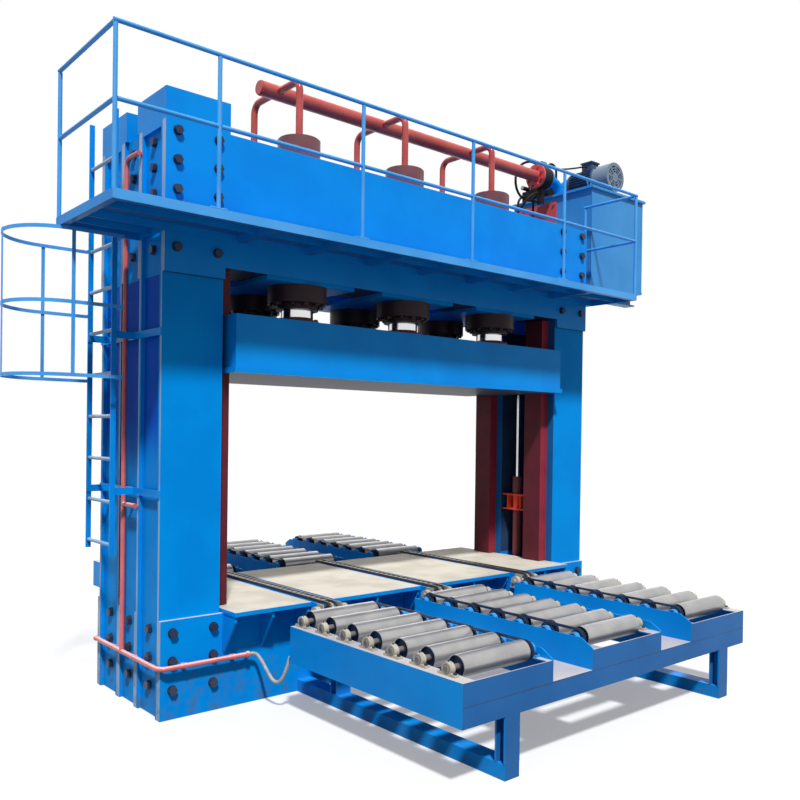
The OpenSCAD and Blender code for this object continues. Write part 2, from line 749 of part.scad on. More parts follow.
// Valve manifold on the lid with its solenoid valves
module valve_block() {
    x0 = tank_x0 + 20;
    y0 = tank_y0 + 640;
    color(dark) {
        bx(x0, x0 + 150, y0, y0 + 330, lid_top + seat, lid_top + 130);
        for (i = [0 : 2]) {
            bx(x0 + 36, x0 + 114, y0 + 20 + i * 108, y0 + 92 + i * 108, lid_top + 129, lid_top + 186);
            cx(x0 - 70, x0 + 36, y0 + 56 + i * 108, lid_top + 158, 46);
            cx(x0 + 114, x0 + 220, y0 + 56 + i * 108, lid_top + 158, 46);
        }
        for (i = [0 : 2]) cx(x0 - 24, x0, y0 + 56 + i * 108, lid_top + 60, 34);
    }
}

// Stiff pressure hoses looped from the manifold to the prefill valve and the pump
module hose_arch(r, d, h) {
    translate([0, 0, h]) rotate([90, 0, 0]) rotate_extrude(angle = 180) translate([r, 0]) circle(d = d);
    for (s = [-1, 1]) cz(s * r, 0, 0, h, d);
}
module pressure_hoses() {
    d = 26;
    r = 110;
    x0 = tank_x0 + 20;
    q = x0 - 24 - seat - r - (hw - web_set + seat);
    hang_z = beam_top - 190;
    y0 = tank_y0 + 640;
    color(dark) {
        translate([x0 + 60, y0 - 40, lid_top + seat]) hose_arch(75, d, 300);
        // from the manifold's ports down to the bulkhead on the rear column's end web
        for (i = [0, 2]) translate([0, y0 + 56 + i * 108, 0]) {
            translate([x0 - 24 - seat, 0, lid_top + 60 - r]) rotate([90, 0, 0])
                rotate_extrude(start = 90, angle = 90) translate([r, 0]) circle(d = d);
            cz(x0 - 24 - seat - r, 0, hang_z, lid_top + 60 - r, d);
            translate([hw - web_set + seat, 0, hang_z]) rotate([90, 0, 0])
                rotate_extrude(start = 270, angle = 90) translate([q, 0]) circle(d = d);
        }
        // pilot hoses left of the prefill valve, and the motor's cable to the valve
        translate([flange_x, 0, header_z]) {
            sweep_tube(path([[50 - seat, 20, 146], [10, 22, 147], [-50, 30, 150], [-120, 60, 125],
                [-170, 95, 60], [-190, 105, -35], [-175, 105, -135], [-125, 95, -210], [-50, 70, -245],
                [10, 30, -253], [70 - seat, 14, -253]], 2), d, 10, [[-1, 0, 0], [1, 0, 0]]);
            sweep_tube(path([[70 - seat, -12, -165], [10, -14, -177], [-60, 0, -215], [-110, 40, -285],
                [-130, 120, -385], [-135, 200, -485], [-135, 230, -565],
                [-135, 230, beam_top - header_z + seat]], 2), d, 10, [[-1, 0, 0], [0, 0, -1]]);
        }
        sweep_tube(path([[motor_x - 62 - seat, cowl_y1 + 135, motor_z + 170],
            [motor_x - 110, cowl_y1 + 138, motor_z + 165], [motor_x - 266, cowl_y1 + 160, motor_z + 120],
            [motor_x - 466, cowl_y1 + 190, motor_z + 75], [flange_x + 200, 0, header_z + 142],
            [flange_x + 132 + seat, 0, header_z + 140]], 3), 18, 10, [[-1, 0, 0], [-1, 0, 0]]);
    }
}

// Rigid conduit round the left end and along the front, held by saddles
module conduit_pipes() {
    x = -hw - pipe_side;
    y = -face_y - pipe_front;
    r = 60;
    color(pipe_red) {
        cy(x, y + r, yo - 10, pipe_z, pipe_d);
        translate([x + r, y + r, pipe_z]) rotate([0, 0, 180]) rotate_extrude(angle = 90)
            translate([r, 0]) circle(d = pipe_d);
        cx(x + r, -1660, y, pipe_z, pipe_d);
        cx(-1665, -1640, y, pipe_z, pipe_d + 12);
        cz(x, 20, pipe_z, pipe_top - r, pipe_d);
        translate([x, 20 - r, pipe_top - r]) rotate([90, 0, 90]) rotate_extrude(angle = 90)
            translate([r, 0]) circle(d = pipe_d);
        cy(x, -yi - 30, 20 - r, pipe_top, pipe_d);
        cy(x, -yi - 30, 20, 1420, pipe_d);
        for (yy = [-yi - 20, yi + 20, yo - 20]) bx(x, -hw - seat, yy - 14, yy + 14, pipe_z - 9, pipe_z + 9);
        for (z = [1420, pipe_top]) bx(x, -hw - seat, -yi - 30, -yi - 4, z - 9, z + 9);
        for (xx = [-hw + 160, -1760]) bx(xx - 14, xx + 14, y, -face_y - seat, pipe_z - 9, pipe_z + 9);
    }
}

// Flexible conduit that hangs between the pipe's end and the infeed table
function spline(p, i, t) = let (a = p[max(i - 1, 0)], b = p[i], c = p[i + 1], e = p[min(i + 2, len(p) - 1)])
    0.5 * (2 * b + (c - a) * t + (2 * a - 5 * b + 4 * c - e) * t * t + (3 * b - a - 3 * c + e) * t * t * t);
function path(p, k) = concat(
    [for (i = [0 : len(p) - 2], j = [0 : k - 1]) spline(p, i, j / k)], [p[len(p) - 1]]);
function unit(v) = v / norm(v);
module sweep_tube(p, d, sides, ends) {
    n = len(p);
    rings = [for (i = [0 : n - 1]) let (
        t = i == 0 ? ends[0] : i == n - 1 ? ends[1] : unit(p[i + 1] - p[i - 1]),
        u = unit(cross(t, [0, 0.35, 1])), v = cross(u, t))
        for (k = [0 : sides - 1]) p[i] + d / 2 * (cos(360 * k / sides) * u + sin(360 * k / sides) * v)];
    walls = [for (i = [0 : n - 2], k = [0 : sides - 1]) let (m = (k + 1) % sides)
        [i * sides + k, i * sides + m, (i + 1) * sides + m, (i + 1) * sides + k]];
    polyhedron(rings, concat(walls, [[for (k = [sides - 1 : -1 : 0]) k]],
        [[for (k = [0 : sides - 1]) (n - 1) * sides + k]]));
}
module flex_hose() { color([0.6, 0.6, 0.6]) sweep_tube(path(hose_pts, 2), hose_d, 10, [[1, 0, 0], [0, -1, 0]]); }

// Walkway along the front and round the left end: deck on a channel frame with cross angles
module platform() {
    z0 = deck_z - fascia_h;
    mid_y = -(deck_y + face_y) / 2;
    color(blue) {
        difference() {
            union() {
                bx(deck_x0, deck_x1, -deck_y, -face_y - seat, z0, deck_z);
                bx(deck_x0, -hw - seat, -face_y - 1, -deck_back, z0, deck_z);
            }
            // under the deck only the edge channels and the cross angles are left
            bx(deck_x0 + 6, deck_x1 - 6, -deck_y + 6, -face_y - 6, z0 - 1, deck_z - 6);
            bx(deck_x0 + 6, -hw - 6, -face_y - 7, -deck_back - 6, z0 - 1, deck_z - 6);
        }
        bx(deck_x0 + 5, deck_x1 - 5, -deck_y + 5, -deck_y + 46, z0, z0 + 6);
        for (i = [1 : 7]) translate([-hw + i * frame_w / 8, 0, 0]) {
            bx(-25, 25, -deck_y + 5, -face_y - 5, z0 + 2, z0 + 10);
            bx(-25, -19, -deck_y + 5, -face_y - 5, z0 + 2, deck_z - 5);
        }
        bx(deck_x0 + 5, deck_x1 - 5, mid_y - 4, mid_y + 4, z0 + 14, deck_z - 5);
        bx(deck_x0 + 5, deck_x0 + 46, -deck_y + 5, -deck_back - 5, z0, z0 + 6);
        for (y = [-face_y, -(face_y + deck_back) / 2])
            bx(deck_x0 + 5, -hw - 5, y - 4, y + 4, z0 + 4, deck_z - 5);
    }
}

// Tube railing: posts on the deck, top rail over them and middle rails between them
module guard_rails() {
    r = tube_d / 2;
    left_x = post_xs[0];
    right_x = post_xs[len(post_xs) - 1];
    back_y = -deck_back - r;
    right_y = -465;
    color(blue) {
        for (x = post_xs) cz(x, post_y, deck_z, top_rail_z - r - seat, tube_d);
        cz(left_x, back_y, deck_z, top_rail_z - r - seat, tube_d);
        bx(right_x - r, deck_x1, right_y - 30, right_y + 30, deck_z - fascia_h, deck_z - 6);
        bx(right_x - r, deck_x1, -face_y + seat, right_y + 30, deck_z - fascia_h, deck_z - 6);
        cz(right_x, right_y, deck_z - 6 + seat, top_rail_z - r - seat, tube_d);
        cx(left_x - r, right_x + r, post_y, top_rail_z, tube_d);
        cy(left_x, post_y + r + seat, back_y + r, top_rail_z, tube_d);
        cy(right_x, post_y + r + seat, right_y + r, top_rail_z, tube_d);
        for (i = [0 : len(post_xs) - 2])
            cx(post_xs[i] + r + seat, post_xs[i + 1] - r - seat, post_y, mid_rail_z, tube_d);
        cy(left_x, post_y + r + seat, back_y - r - seat, mid_rail_z, tube_d);
        cy(right_x, post_y + r + seat, right_y - r - seat, mid_rail_z, tube_d);
    }
}

// Ladder on the left end: flat stiles, round rungs, and brackets on the column edges
module ladder() {
    color(blue) {
        for (y = [ladder_y0, ladder_y1]) bx(ladder_x - stile_w / 2, ladder_x + stile_w / 2,
            y - stile_t / 2, y + stile_t / 2, ladder_bottom, ladder_top);
        for (i = [0 : 7]) cy(ladder_x, ladder_y0 + stile_t / 2 + seat, ladder_y1 - stile_t / 2 - seat,
            rung_z + i * rung_pitch, rung_d);
        for (z = bracket_zs) {
            bx(-hw - 8 - seat, -hw - seat, -yo, yo, z - 25, z + 25);
            for (y = [ladder_y0 + stile_t / 2 + seat, ladder_y1 - stile_t / 2 - seat - 8])
                bx(ladder_x - stile_w / 2, -hw - 8 - 2 * seat, y, y + 8, z - 25, z + 25);
        }
        // flat brace from the near stile down to the column's front edge
        hull() {
            bx(ladder_x + stile_w / 2 - 10, ladder_x + stile_w / 2, ladder_y0 - stile_t / 2 - seat - 8,
                ladder_y0 - stile_t / 2 - seat, deck_z + 210, deck_z + 280);
            bx(-hw - 8 - seat, -hw - seat, -yo + 4, -yo + 34, deck_z + 100, deck_z + 170);
        }
    }
}

// Safety cage: flat hoops that bulge out round the climber, with upright bars
module hoop() {
    w = ladder_w / 2 + stile_t / 2 + seat;
    difference() {
        union() {
            circle(cage_r);
            translate([0, -cage_r]) square([ladder_x - cage_x + stile_w / 2, 2 * cage_r]);
        }
        circle(cage_r - hoop_t);
        translate([0, -cage_r + hoop_t])
            square([ladder_x - cage_x + stile_w / 2 - hoop_t, 2 * (cage_r - hoop_t)]);
        translate([100, -w]) square([cage_r * 2, 2 * w]);
    }
}
module ladder_cage() {
    color(blue) translate([cage_x, ladder_yc, 0]) {
        for (z = cage_zs) translate([0, 0, z]) linear_extrude(hoop_h) hoop();
        for (a = [90, 120, 180, 240, 270]) rotate(a)
            bx(cage_r - hoop_t - 5, cage_r - hoop_t + 1, -20, 20, cage_zs[0], cage_zs[2] + hoop_h);
    }
}

// Lanes as [left side, right side, chain on the right]
lanes = [[-lane_out, -lane_mid, true], [-lane_in, lane_in, false], [lane_mid, lane_out, false]];
function roller_y(i) = roller_y0 + i * roller_pitch;

// Guard plate outline with its far top corner cut off
module guard_outline(top) {
    polygon([[lane_y0, tray_z], [lane_y1, tray_z], [lane_y1, top - 52], [lane_y1 - 90, top], [lane_y0, top]]);
}
// Outer channel beam of a roller table, with a plate closing each end
module lane_beam() {
    bx(lane_out - lane_t, lane_out, lane_y0, lane_y1, lane_z, ledge_z);
    bx(lane_out - 100, lane_out - lane_t + 1, lane_y0, lane_y1, ledge_z - lane_t, ledge_z);
    bx(lane_out - 70, lane_out - lane_t + 1, lane_y0, lane_y1, lane_z, lane_z + lane_t);
    for (y = [lane_y0, lane_y1 - lane_t])
        bx(lane_out - 100, lane_out - lane_t + 1, y, y + lane_t, lane_z, ledge_z);
}
// Guard plate with the ledge that its bearings stand on, drawn at x = 0 with the ledge on the +X side
module lane_guard(ledge_w) {
    plate_yz(0, lane_t) guard_outline(guard_z);
    bx(lane_t - 1, ledge_w, lane_y0 + lane_t + seat, lane_y1 - lane_t - seat, ledge_z - lane_t, ledge_z);
}
// Leg rolled as an I section
module leg(x, y) {
    z0 = skid_h + seat;
    z1 = lane_z - seat;
    bx(x - leg_w / 2, x + leg_w / 2, y, y + 12, z0, z1);
    bx(x - leg_w / 2, x + leg_w / 2, y + 68, y + 80, z0, z1);
    bx(x - 8, x + 8, y, y + 80, z0, z1);
}
// Roller table frame drawn on the +Y side
module lane_frame() {
    both_x() {
        lane_beam();
        translate([lane_mid, 0, 0]) lane_guard(50);
        bx(lane_in + seat, lane_mid - seat, lane_y0, lane_y1, tray_z + seat, tray_z + lane_t);
        for (y = [lane_y0, lane_y1 - lane_t])
            bx(lane_mid + lane_t + seat, cross_x, y, y + lane_t, tray_z + seat, ledge_z);
    }
    // the middle lane's ledge is narrow on the chain side
    translate([-lane_in, 0, 0]) lane_guard(50);
    translate([lane_in, 0, 0]) mirror([1, 0, 0]) lane_guard(100);
    for (y = [lane_y0, lane_y1 - lane_t])
        bx(-lane_in + lane_t + seat, lane_in - lane_t - seat, y, y + lane_t, tray_z + seat, ledge_z);
    // cross channels under the lanes
    for (y = [lane_y0, (lane_y0 + lane_y1) / 2 - 40, lane_y1 - 80]) {
        bx(-cross_x, cross_x, y, y + lane_t, lane_z, tray_z);
        bx(-cross_x, cross_x, y + 80 - lane_t, y + 80, lane_z, tray_z);
        bx(-cross_x, cross_x, y, y + 80, tray_z - lane_t, tray_z);
    }
    // skids tied to the press base, with the legs standing on them
    for (x = leg_xs) {
        bx(x - 60, x + 60, face_y + seat, lane_y1, 0, skid_h);
        for (y = [lane_y0, lane_y1 - 80]) leg(x, y);
    }
}
// Pillow block standing on a ledge, its axis along Z at the origin
module pillow_block() {
    h = roller_z - ledge_z;
    difference() {
        union() {
            circle(h);
            polygon([[-70, -h], [70, -h], [70, -h + 14], [34, -h + 18], [h * 0.8, 0],
                [-h * 0.8, 0], [-34, -h + 18], [-70, -h + 14]]);
        }
        circle(shaft_d / 2 + shaft_gap);
    }
}
module lane_bearings() {
    for (l = lanes, i = [0 : roller_n - 1]) {
        a = l[0] + (l[2] ? block_plain_in : block_chain_in);
        b = l[1] - (l[2] ? block_chain_in : block_plain_in);
        for (x = [a, b]) translate([x - block_w / 2, roller_y(i), roller_z]) rotate([90, 0, 90])
            linear_extrude(block_w) pillow_block();
    }
}
// Sprocket disc along Z, centred on its thickness
module sprocket() {
    linear_extrude(sprocket_t, center = true) {
        circle(chain_r - 6);
        for (i = [0 : sprocket_teeth - 1]) rotate(i * 360 / sprocket_teeth)
            polygon([[chain_r - 9, -5.4], [chain_r + 3.4, -1.6], [chain_r + 3.4, 1.6], [chain_r - 9, 5.4]]);
    }
}
// Driven roller: tube with set-in end discs, through shaft and double sprocket
module roller(l) {
    right = l[2];
    t0 = l[0] + (right ? tube_plain_in : tube_chain_in);
    t1 = l[1] - (right ? tube_chain_in : tube_plain_in);
    // the shaft stops short of the guard plate on the chain side
    s0 = l[0] + (right ? block_plain_in - block_w / 2 - 5 : lane_t + 0.5);
    s1 = l[1] - (right ? lane_t + 0.5 : block_plain_in - block_w / 2 - 5);
    xa = right ? l[1] - sprocket_a : l[0] + sprocket_a;
    xb = right ? l[1] - sprocket_b : l[0] + sprocket_b;
    rotate([0, 90, 0]) {
        difference() {
            translate([0, 0, t0]) cylinder(d = roller_d, h = t1 - t0);
            translate([0, 0, t0 - 1]) cylinder(d = roller_d - 2 * roller_wall, h = 26);
            translate([0, 0, t1 - 25]) cylinder(d = roller_d - 2 * roller_wall, h = 26);
            translate([0, 0, t0 + 37]) cylinder(d = roller_d - 2 * roller_wall, h = t1 - t0 - 74);
        }
        translate([0, 0, s0]) cylinder(d = shaft_d, h = s1 - s0);
        translate([0, 0, xa]) sprocket();
        translate([0, 0, xb]) sprocket();
        translate([0, 0, min(xa, xb)]) cylinder(d = shaft_d + 30, h = abs(xb - xa));
        translate([0, 0, right ? t1 - 30 : xa])
            cylinder(d = shaft_d + 24, h = right ? xa - t1 + 30 : t0 + 30 - xa);
    }
}
module placed_roller(l, i, sy) {
    color(steel) translate([0, sy * roller_y(i), roller_z]) roller(lanes[l]);
}
// Chain loop from one roller to the next: side plates beside the teeth, and pins on the straight runs
module chain_loop() {
    r = chain_r + 1;
    w = sprocket_t / 2 + seat;
    for (s = [-1, 1]) translate([0, 0, s * (w + 1.5) - 1.5]) linear_extrude(3) difference() {
        racetrack(r + 7.5, roller_pitch);
        racetrack(r - 7.5, roller_pitch);
    }
    n = floor((roller_pitch - 2 * chain_r - 10) / chain_pitch);
    for (k = [0 : n - 1], s = [-1, 1])
        translate([(k - (n - 1) / 2) * chain_pitch, s * r, -w - 2]) cylinder(d = 11, h = 2 * w + 4);
}
module lane_chains() {
    for (l = lanes, i = [0 : roller_n - 2]) {
        set_in = i % 2 == 0 ? sprocket_a : sprocket_b;
        translate([l[2] ? l[1] - set_in : l[0] + set_in, (roller_y(i) + roller_y(i + 1)) / 2, roller_z])
            rotate([90, 0, 90]) chain_loop();
    }
}
module infeed_frame() {
    color(blue) {
        mirror([0, 1, 0]) lane_frame();
        cy(-1510, -lane_y0 - 1, -950, 390, hose_d + 14);
    }
}
module infeed_bearings() { color([0.72, 0.70, 0.62]) mirror([0, 1, 0]) lane_bearings(); }
module infeed_chains() { color(dark) mirror([0, 1, 0]) lane_chains(); }
module outfeed_frame() {
    color(blue) lane_frame();
    color([0.72, 0.70, 0.62]) lane_bearings();
}
module outfeed_rollers() {
    for (l = [0 : 2], i = [0 : roller_n - 1]) placed_roller(l, i, 1);
    color(dark) lane_chains();
}

lower_beam_front();
lower_beam_rear();
column_front_left();
column_front_right();
column_rear_left();
column_rear_right();
upper_beam_front();
upper_beam_rear();
frame_ties();
frame_bolts();
bed_tables();
chain_tracks();
transfer_chains();
guide_rails();
cylinder_barrels();
cylinder_glands();
piston_rods();
platen();
lift_cylinders();
lift_rods();
oil_header();
oil_tank();
tank_lid();
pump_motor();
motor_fan();
pump_unit();
valve_block();
pressure_hoses();
conduit_pipes();
flex_hose();
platform();
guard_rails();
ladder();
ladder_cage();
infeed_frame();
infeed_bearings();
infeed_chains();
outfeed_frame();
outfeed_rollers();
placed_roller(0, 0, -1);  // roller_a1
placed_roller(0, 1, -1);  // roller_a2
placed_roller(0, 2, -1);  // roller_a3
placed_roller(0, 3, -1);  // roller_a4
placed_roller(0, 4, -1);  // roller_a5
placed_roller(0, 5, -1);  // roller_a6
placed_roller(0, 6, -1);  // roller_a7
placed_roller(1, 0, -1);  // roller_b1
placed_roller(1, 1, -1);  // roller_b2
placed_roller(1, 2, -1);  // roller_b3
placed_roller(1, 3, -1);  // roller_b4
placed_roller(1, 4, -1);  // roller_b5
placed_roller(1, 5, -1);  // roller_b6
placed_roller(1, 6, -1);  // roller_b7
placed_roller(2, 0, -1);  // roller_c1
placed_roller(2, 1, -1);  // roller_c2
placed_roller(2, 2, -1);  // roller_c3
placed_roller(2, 3, -1);  // roller_c4
placed_roller(2, 4, -1);  // roller_c5
placed_roller(2, 5, -1);  // roller_c6
placed_roller(2, 6, -1);  // roller_c7
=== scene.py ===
"""Dresses the frame-type hydraulic press: finishes, small fittings, light and camera.

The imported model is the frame. Every piece made here is in metres in the same frame, +Z up, with the
origin on the floor at the middle of the press.
"""
import logging
import math
from dataclasses import dataclass
from enum import Enum
from itertools import product
from typing import Callable, Iterable, Sequence

import bmesh
import bpy
from mathutils import Matrix, Vector


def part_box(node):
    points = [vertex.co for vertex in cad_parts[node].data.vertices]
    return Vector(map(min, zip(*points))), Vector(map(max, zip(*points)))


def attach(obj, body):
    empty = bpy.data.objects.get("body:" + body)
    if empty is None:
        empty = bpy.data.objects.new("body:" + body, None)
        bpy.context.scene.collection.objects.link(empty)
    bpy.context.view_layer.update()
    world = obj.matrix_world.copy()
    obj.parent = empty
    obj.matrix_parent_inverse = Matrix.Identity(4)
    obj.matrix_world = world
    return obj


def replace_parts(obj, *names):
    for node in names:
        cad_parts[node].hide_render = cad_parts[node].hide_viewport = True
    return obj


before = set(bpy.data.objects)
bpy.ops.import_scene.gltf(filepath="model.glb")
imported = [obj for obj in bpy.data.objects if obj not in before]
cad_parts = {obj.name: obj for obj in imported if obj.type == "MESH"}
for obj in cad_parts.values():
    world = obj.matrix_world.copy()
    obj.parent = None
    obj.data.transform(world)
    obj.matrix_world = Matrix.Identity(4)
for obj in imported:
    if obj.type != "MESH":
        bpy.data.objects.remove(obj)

LOG = logging.getLogger("press")
Colour = tuple[float, float, float]
Point = tuple[float, float, float]
Band = tuple[float, float]
ROOT = "press_frame"
BOTH_SIDES = (-1, 1)
WHITE = (1.0, 1.0, 1.0, 1.0)


def corners(node: str) -> tuple[Vector, Vector]:
    """Lowest and highest corners of a node at rest."""
    low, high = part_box(node)
    return Vector(low), Vector(high)


def centre(node: str) -> Vector:
    """Middle of a node's box at rest."""
    low, high = corners(node)
    return (low + high) / 2


class Texture(Enum):
    """How the surface of a finish is raised."""

    PEEL = "sprayed enamel"
    CAST = "rough casting"
    TURNED = "rings turned round a roller"
    SCUFFED = "plate scuffed along Y"
    POLISHED = "ground and plated"
    CHEQUER = "raised chequer plate on top faces"
    RUBBER = "moulded rubber"


class Value:
    """A shader socket that takes part in Python arithmetic by adding Math nodes."""

    def __init__(self, graph: "Graph", socket: bpy.types.NodeSocket) -> None:
        """Wraps one output socket of a graph."""
        self.graph = graph
        self.socket = socket

    def __add__(self, other: "Value | float") -> "Value":
        """Sum of two values."""
        return self.graph.math("ADD", self, other)

    def __sub__(self, other: "Value | float") -> "Value":
        """Difference of two values."""
        return self.graph.math("SUBTRACT", self, other)

    def __rsub__(self, other: float) -> "Value":
        """A number less this value."""
        return self.graph.math("SUBTRACT", other, self)

    def __mul__(self, other: "Value | float") -> "Value":
        """Product of two values."""
        return self.graph.math("MULTIPLY", self, other)

    def __truediv__(self, other: "Value | float") -> "Value":
        """Quotient of two values."""
        return self.graph.math("DIVIDE", self, other)

    def __gt__(self, other: "Value | float") -> "Value":
        """One where this value is greater, else zero."""
        return self.graph.math("GREATER_THAN", self, other)

    def __lt__(self, other: "Value | float") -> "Value":
        """One where this value is less, else zero."""
        return self.graph.math("LESS_THAN", self, other)

    def __abs__(self) -> "Value":
        """Size without sign."""
        return self.graph.math("ABSOLUTE", self, 0.0)

    __radd__ = __add__
    __rmul__ = __mul__

    def either(self, other: "Value") -> "Value":
        """The larger of two masks."""
        return self.graph.math("MAXIMUM", self, other)

    def pick(self, off: "Value | float", on: float) -> "Value":
        """A number that goes from off to on as this mask rises."""
        return (1.0 - self) * off + self * on

    def root(self) -> "Value":
        """Square root."""
        return self.graph.math("SQRT", self, 0.0)

    def nearest(self) -> "Value":
        """Nearest whole number."""
        return self.graph.math("ROUND", self, 0.0)

    def sine(self) -> "Value":
        """Sine of an angle in radians."""
        return self.graph.math("SINE", self, 0.0)

    def step(self, low: float, high: float) -> "Value":
        """Smooth rise from zero at low to one at high."""
        node = self.graph.add("ShaderNodeMapRange", {"interpolation_type": "SMOOTHSTEP"},
                              {"Value": self, "From Min": low, "From Max": high})
        return Value(self.graph, node.outputs["Result"])


class Graph:
    """A node tree, with one method that adds any node."""

    def __init__(self, owner: bpy.types.Material | bpy.types.World) -> None:
        """Empties the tree of a material or of the world.

        Args:
            owner: the material or the world.
        """
        owner.use_nodes = True
        self.owner = owner
        self.tree = owner.node_tree
        self.tree.nodes.clear()

    def add(self, kind: str, settings: dict | None = None,
            sockets: dict | None = None) -> bpy.types.Node:
        """Adds a node.

        Args:
            kind: Blender's node type.
            settings: attributes of the node, set first.
            sockets: values or links of its inputs.

        Returns:
            The new node.
        """
        node = self.tree.nodes.new(kind)
        for key, value in (settings or {}).items():
            setattr(node, key, value)
        for key, value in (sockets or {}).items():
            source = value.socket if isinstance(value, Value) else value
            if isinstance(source, bpy.types.NodeSocket):
                self.tree.links.new(source, node.inputs[key])
            else:
                node.inputs[key].default_value = source
        return node

    def split(self, vector: bpy.types.NodeSocket) -> list[Value]:
        """The three parts of a vector."""
        node = self.add("ShaderNodeSeparateXYZ", None, {0: vector})
        return [Value(self, socket) for socket in node.outputs]

    def math(self, operation: str, first: "Value | float", second: "Value | float") -> Value:
        """One Math node on values or numbers."""
        node = self.add("ShaderNodeMath", {"operation": operation}, {0: first, 1: second})
        return Value(self, node.outputs[0])

    def blend(self, first: object, second: object, mask: Value) -> bpy.types.NodeSocket:
        """Colour that goes from the first to the second as the mask rises.

        Args:
            first: colour or colour socket where the mask is zero.
            second: colour or colour socket where the mask is one.
            mask: value from zero to one.

        Returns:
            The mixed colour's socket.
        """
        inks = [ink if isinstance(ink, bpy.types.NodeSocket) else (*ink, 1.0)
                for ink in (first, second)]
        node = self.add("ShaderNodeMix", {"data_type": "RGBA"}, {0: mask, 6: inks[0], 7: inks[1]})
        return node.outputs[2]

    def backdrop_ray(self) -> Value:
        """One for the rays that see the white backdrop: the camera's, and those in metal and glass.

        Returns:
            The mask.
        """
        path = self.add("ShaderNodeLightPath")
        seen, mirrored, passed = [Value(self, path.outputs[f"Is {kind} Ray"])
                                  for kind in ("Camera", "Glossy", "Transmission")]
        return seen.either(mirrored).either(passed)

    def close(self, kind: str, shader: bpy.types.Node) -> None:
        """Sends a shader to the tree's output of the given kind."""
        self.add(kind, None, {"Surface": shader.outputs[0]})


class Surface(Graph):
    """The node tree of a new material, with the place and the facing of a surface point."""

    def __init__(self, name: str) -> None:
        """Starts the material.

        Args:
            name: name of the material.
        """
        super().__init__(bpy.data.materials.new(name))
        spot = self.add("ShaderNodeTexCoord")
        self.place = spot.outputs["Object"]
        self.x, self.y, self.z = self.split(self.place)
        self.nx, self.ny, self.nz = self.split(spot.outputs["Normal"])

    def noise(self, scale: float, detail: float = 3.0, stretch: Point = (1.0, 1.0, 1.0)) -> Value:
        """Noise over the surface.

        Args:
            scale: how fine it is.
            detail: how many finer layers it has.
            stretch: how much finer it is along each axis.

        Returns:
            The noise, from zero to one.
        """
        node = self.add("ShaderNodeMapping", None, {"Vector": self.place, "Scale": stretch})
        noise = self.add("ShaderNodeTexNoise", None,
                         {"Vector": node.outputs[0], "Scale": scale, "Detail": detail})
        return Value(self, noise.outputs[0])


@dataclass(frozen=True)
class Grain:
    """Fine noise that raises a surface, with the slow swell under it where it has one."""

    strength: float
    scale: float
    detail: float
    stretch: Point = (1.0, 1.0, 1.0)
    share: float = 1.0
    swell: tuple[float, float] | None = None

    def height(self, graph: Surface) -> Value:
        """The height of the surface."""
        fine = graph.noise(self.scale, self.detail, self.stretch)
        return fine * self.share + graph.noise(*self.swell) if self.swell else fine


# Grain of each texture, and how blotches, dust and soil lie on every finish
GRAINS: dict[Texture, Grain] = {
    Texture.PEEL: Grain(0.12, 210.0, 2.0, share=0.12, swell=(2.6, 2.0)),
    Texture.CAST: Grain(0.30, 70.0, 5.0),
    Texture.TURNED: Grain(0.10, 30.0, 2.0, (30.0, 0.6, 0.6)),
    Texture.SCUFFED: Grain(0.12, 14.0, 4.0, (5.0, 0.5, 1.0), swell=(3.0, 3.0)),
    Texture.POLISHED: Grain(0.03, 60.0, 2.0, (1.0, 1.0, 8.0)),
    Texture.RUBBER: Grain(0.15, 120.0, 2.0),
}
CHEQUER_PITCH = 0.045
CHEQUER_EDGE: Band = (0.35, 0.75)
CHEQUER_STRENGTH = 0.35
BUMP_DISTANCE = 0.004
BLOTCH_EDGE: Band = (0.34, 0.70)
BLOTCH_DETAIL = 5.0
SHEEN_SCALE = 9.0
SHEEN_SWING = 0.16
CLEAR_ROUGH = 0.12
DUST: Colour = (0.74, 0.72, 0.67)
DUST_NOISE = (17.0, 8.0)
DUST_EDGE: Band = (0.60, 0.85)
DUST_SPREAD = 0.5
DUST_SLOPE: Band = (0.75, 0.98)
DUST_ROUGH = 0.35
SOIL: Colour = (0.10, 0.10, 0.11)
SOIL_NOISE = (11.0, 6.0)
SOIL_EDGE: Band = (0.42, 0.75)
SOIL_HEIGHT = 0.5
SOIL_ROUGH = 0.25


@dataclass(frozen=True)
class Coat:
    """One paint or metal: its colour, what it drifts to in blotches, roughness and metal."""

    colour: Colour
    drift: Colour
    rough: float
    metal: float = 0.0


@dataclass(frozen=True)
class Zone:
    """Where on a node another coat lies."""

    coat: Coat
    where: Callable[[Surface], Value]


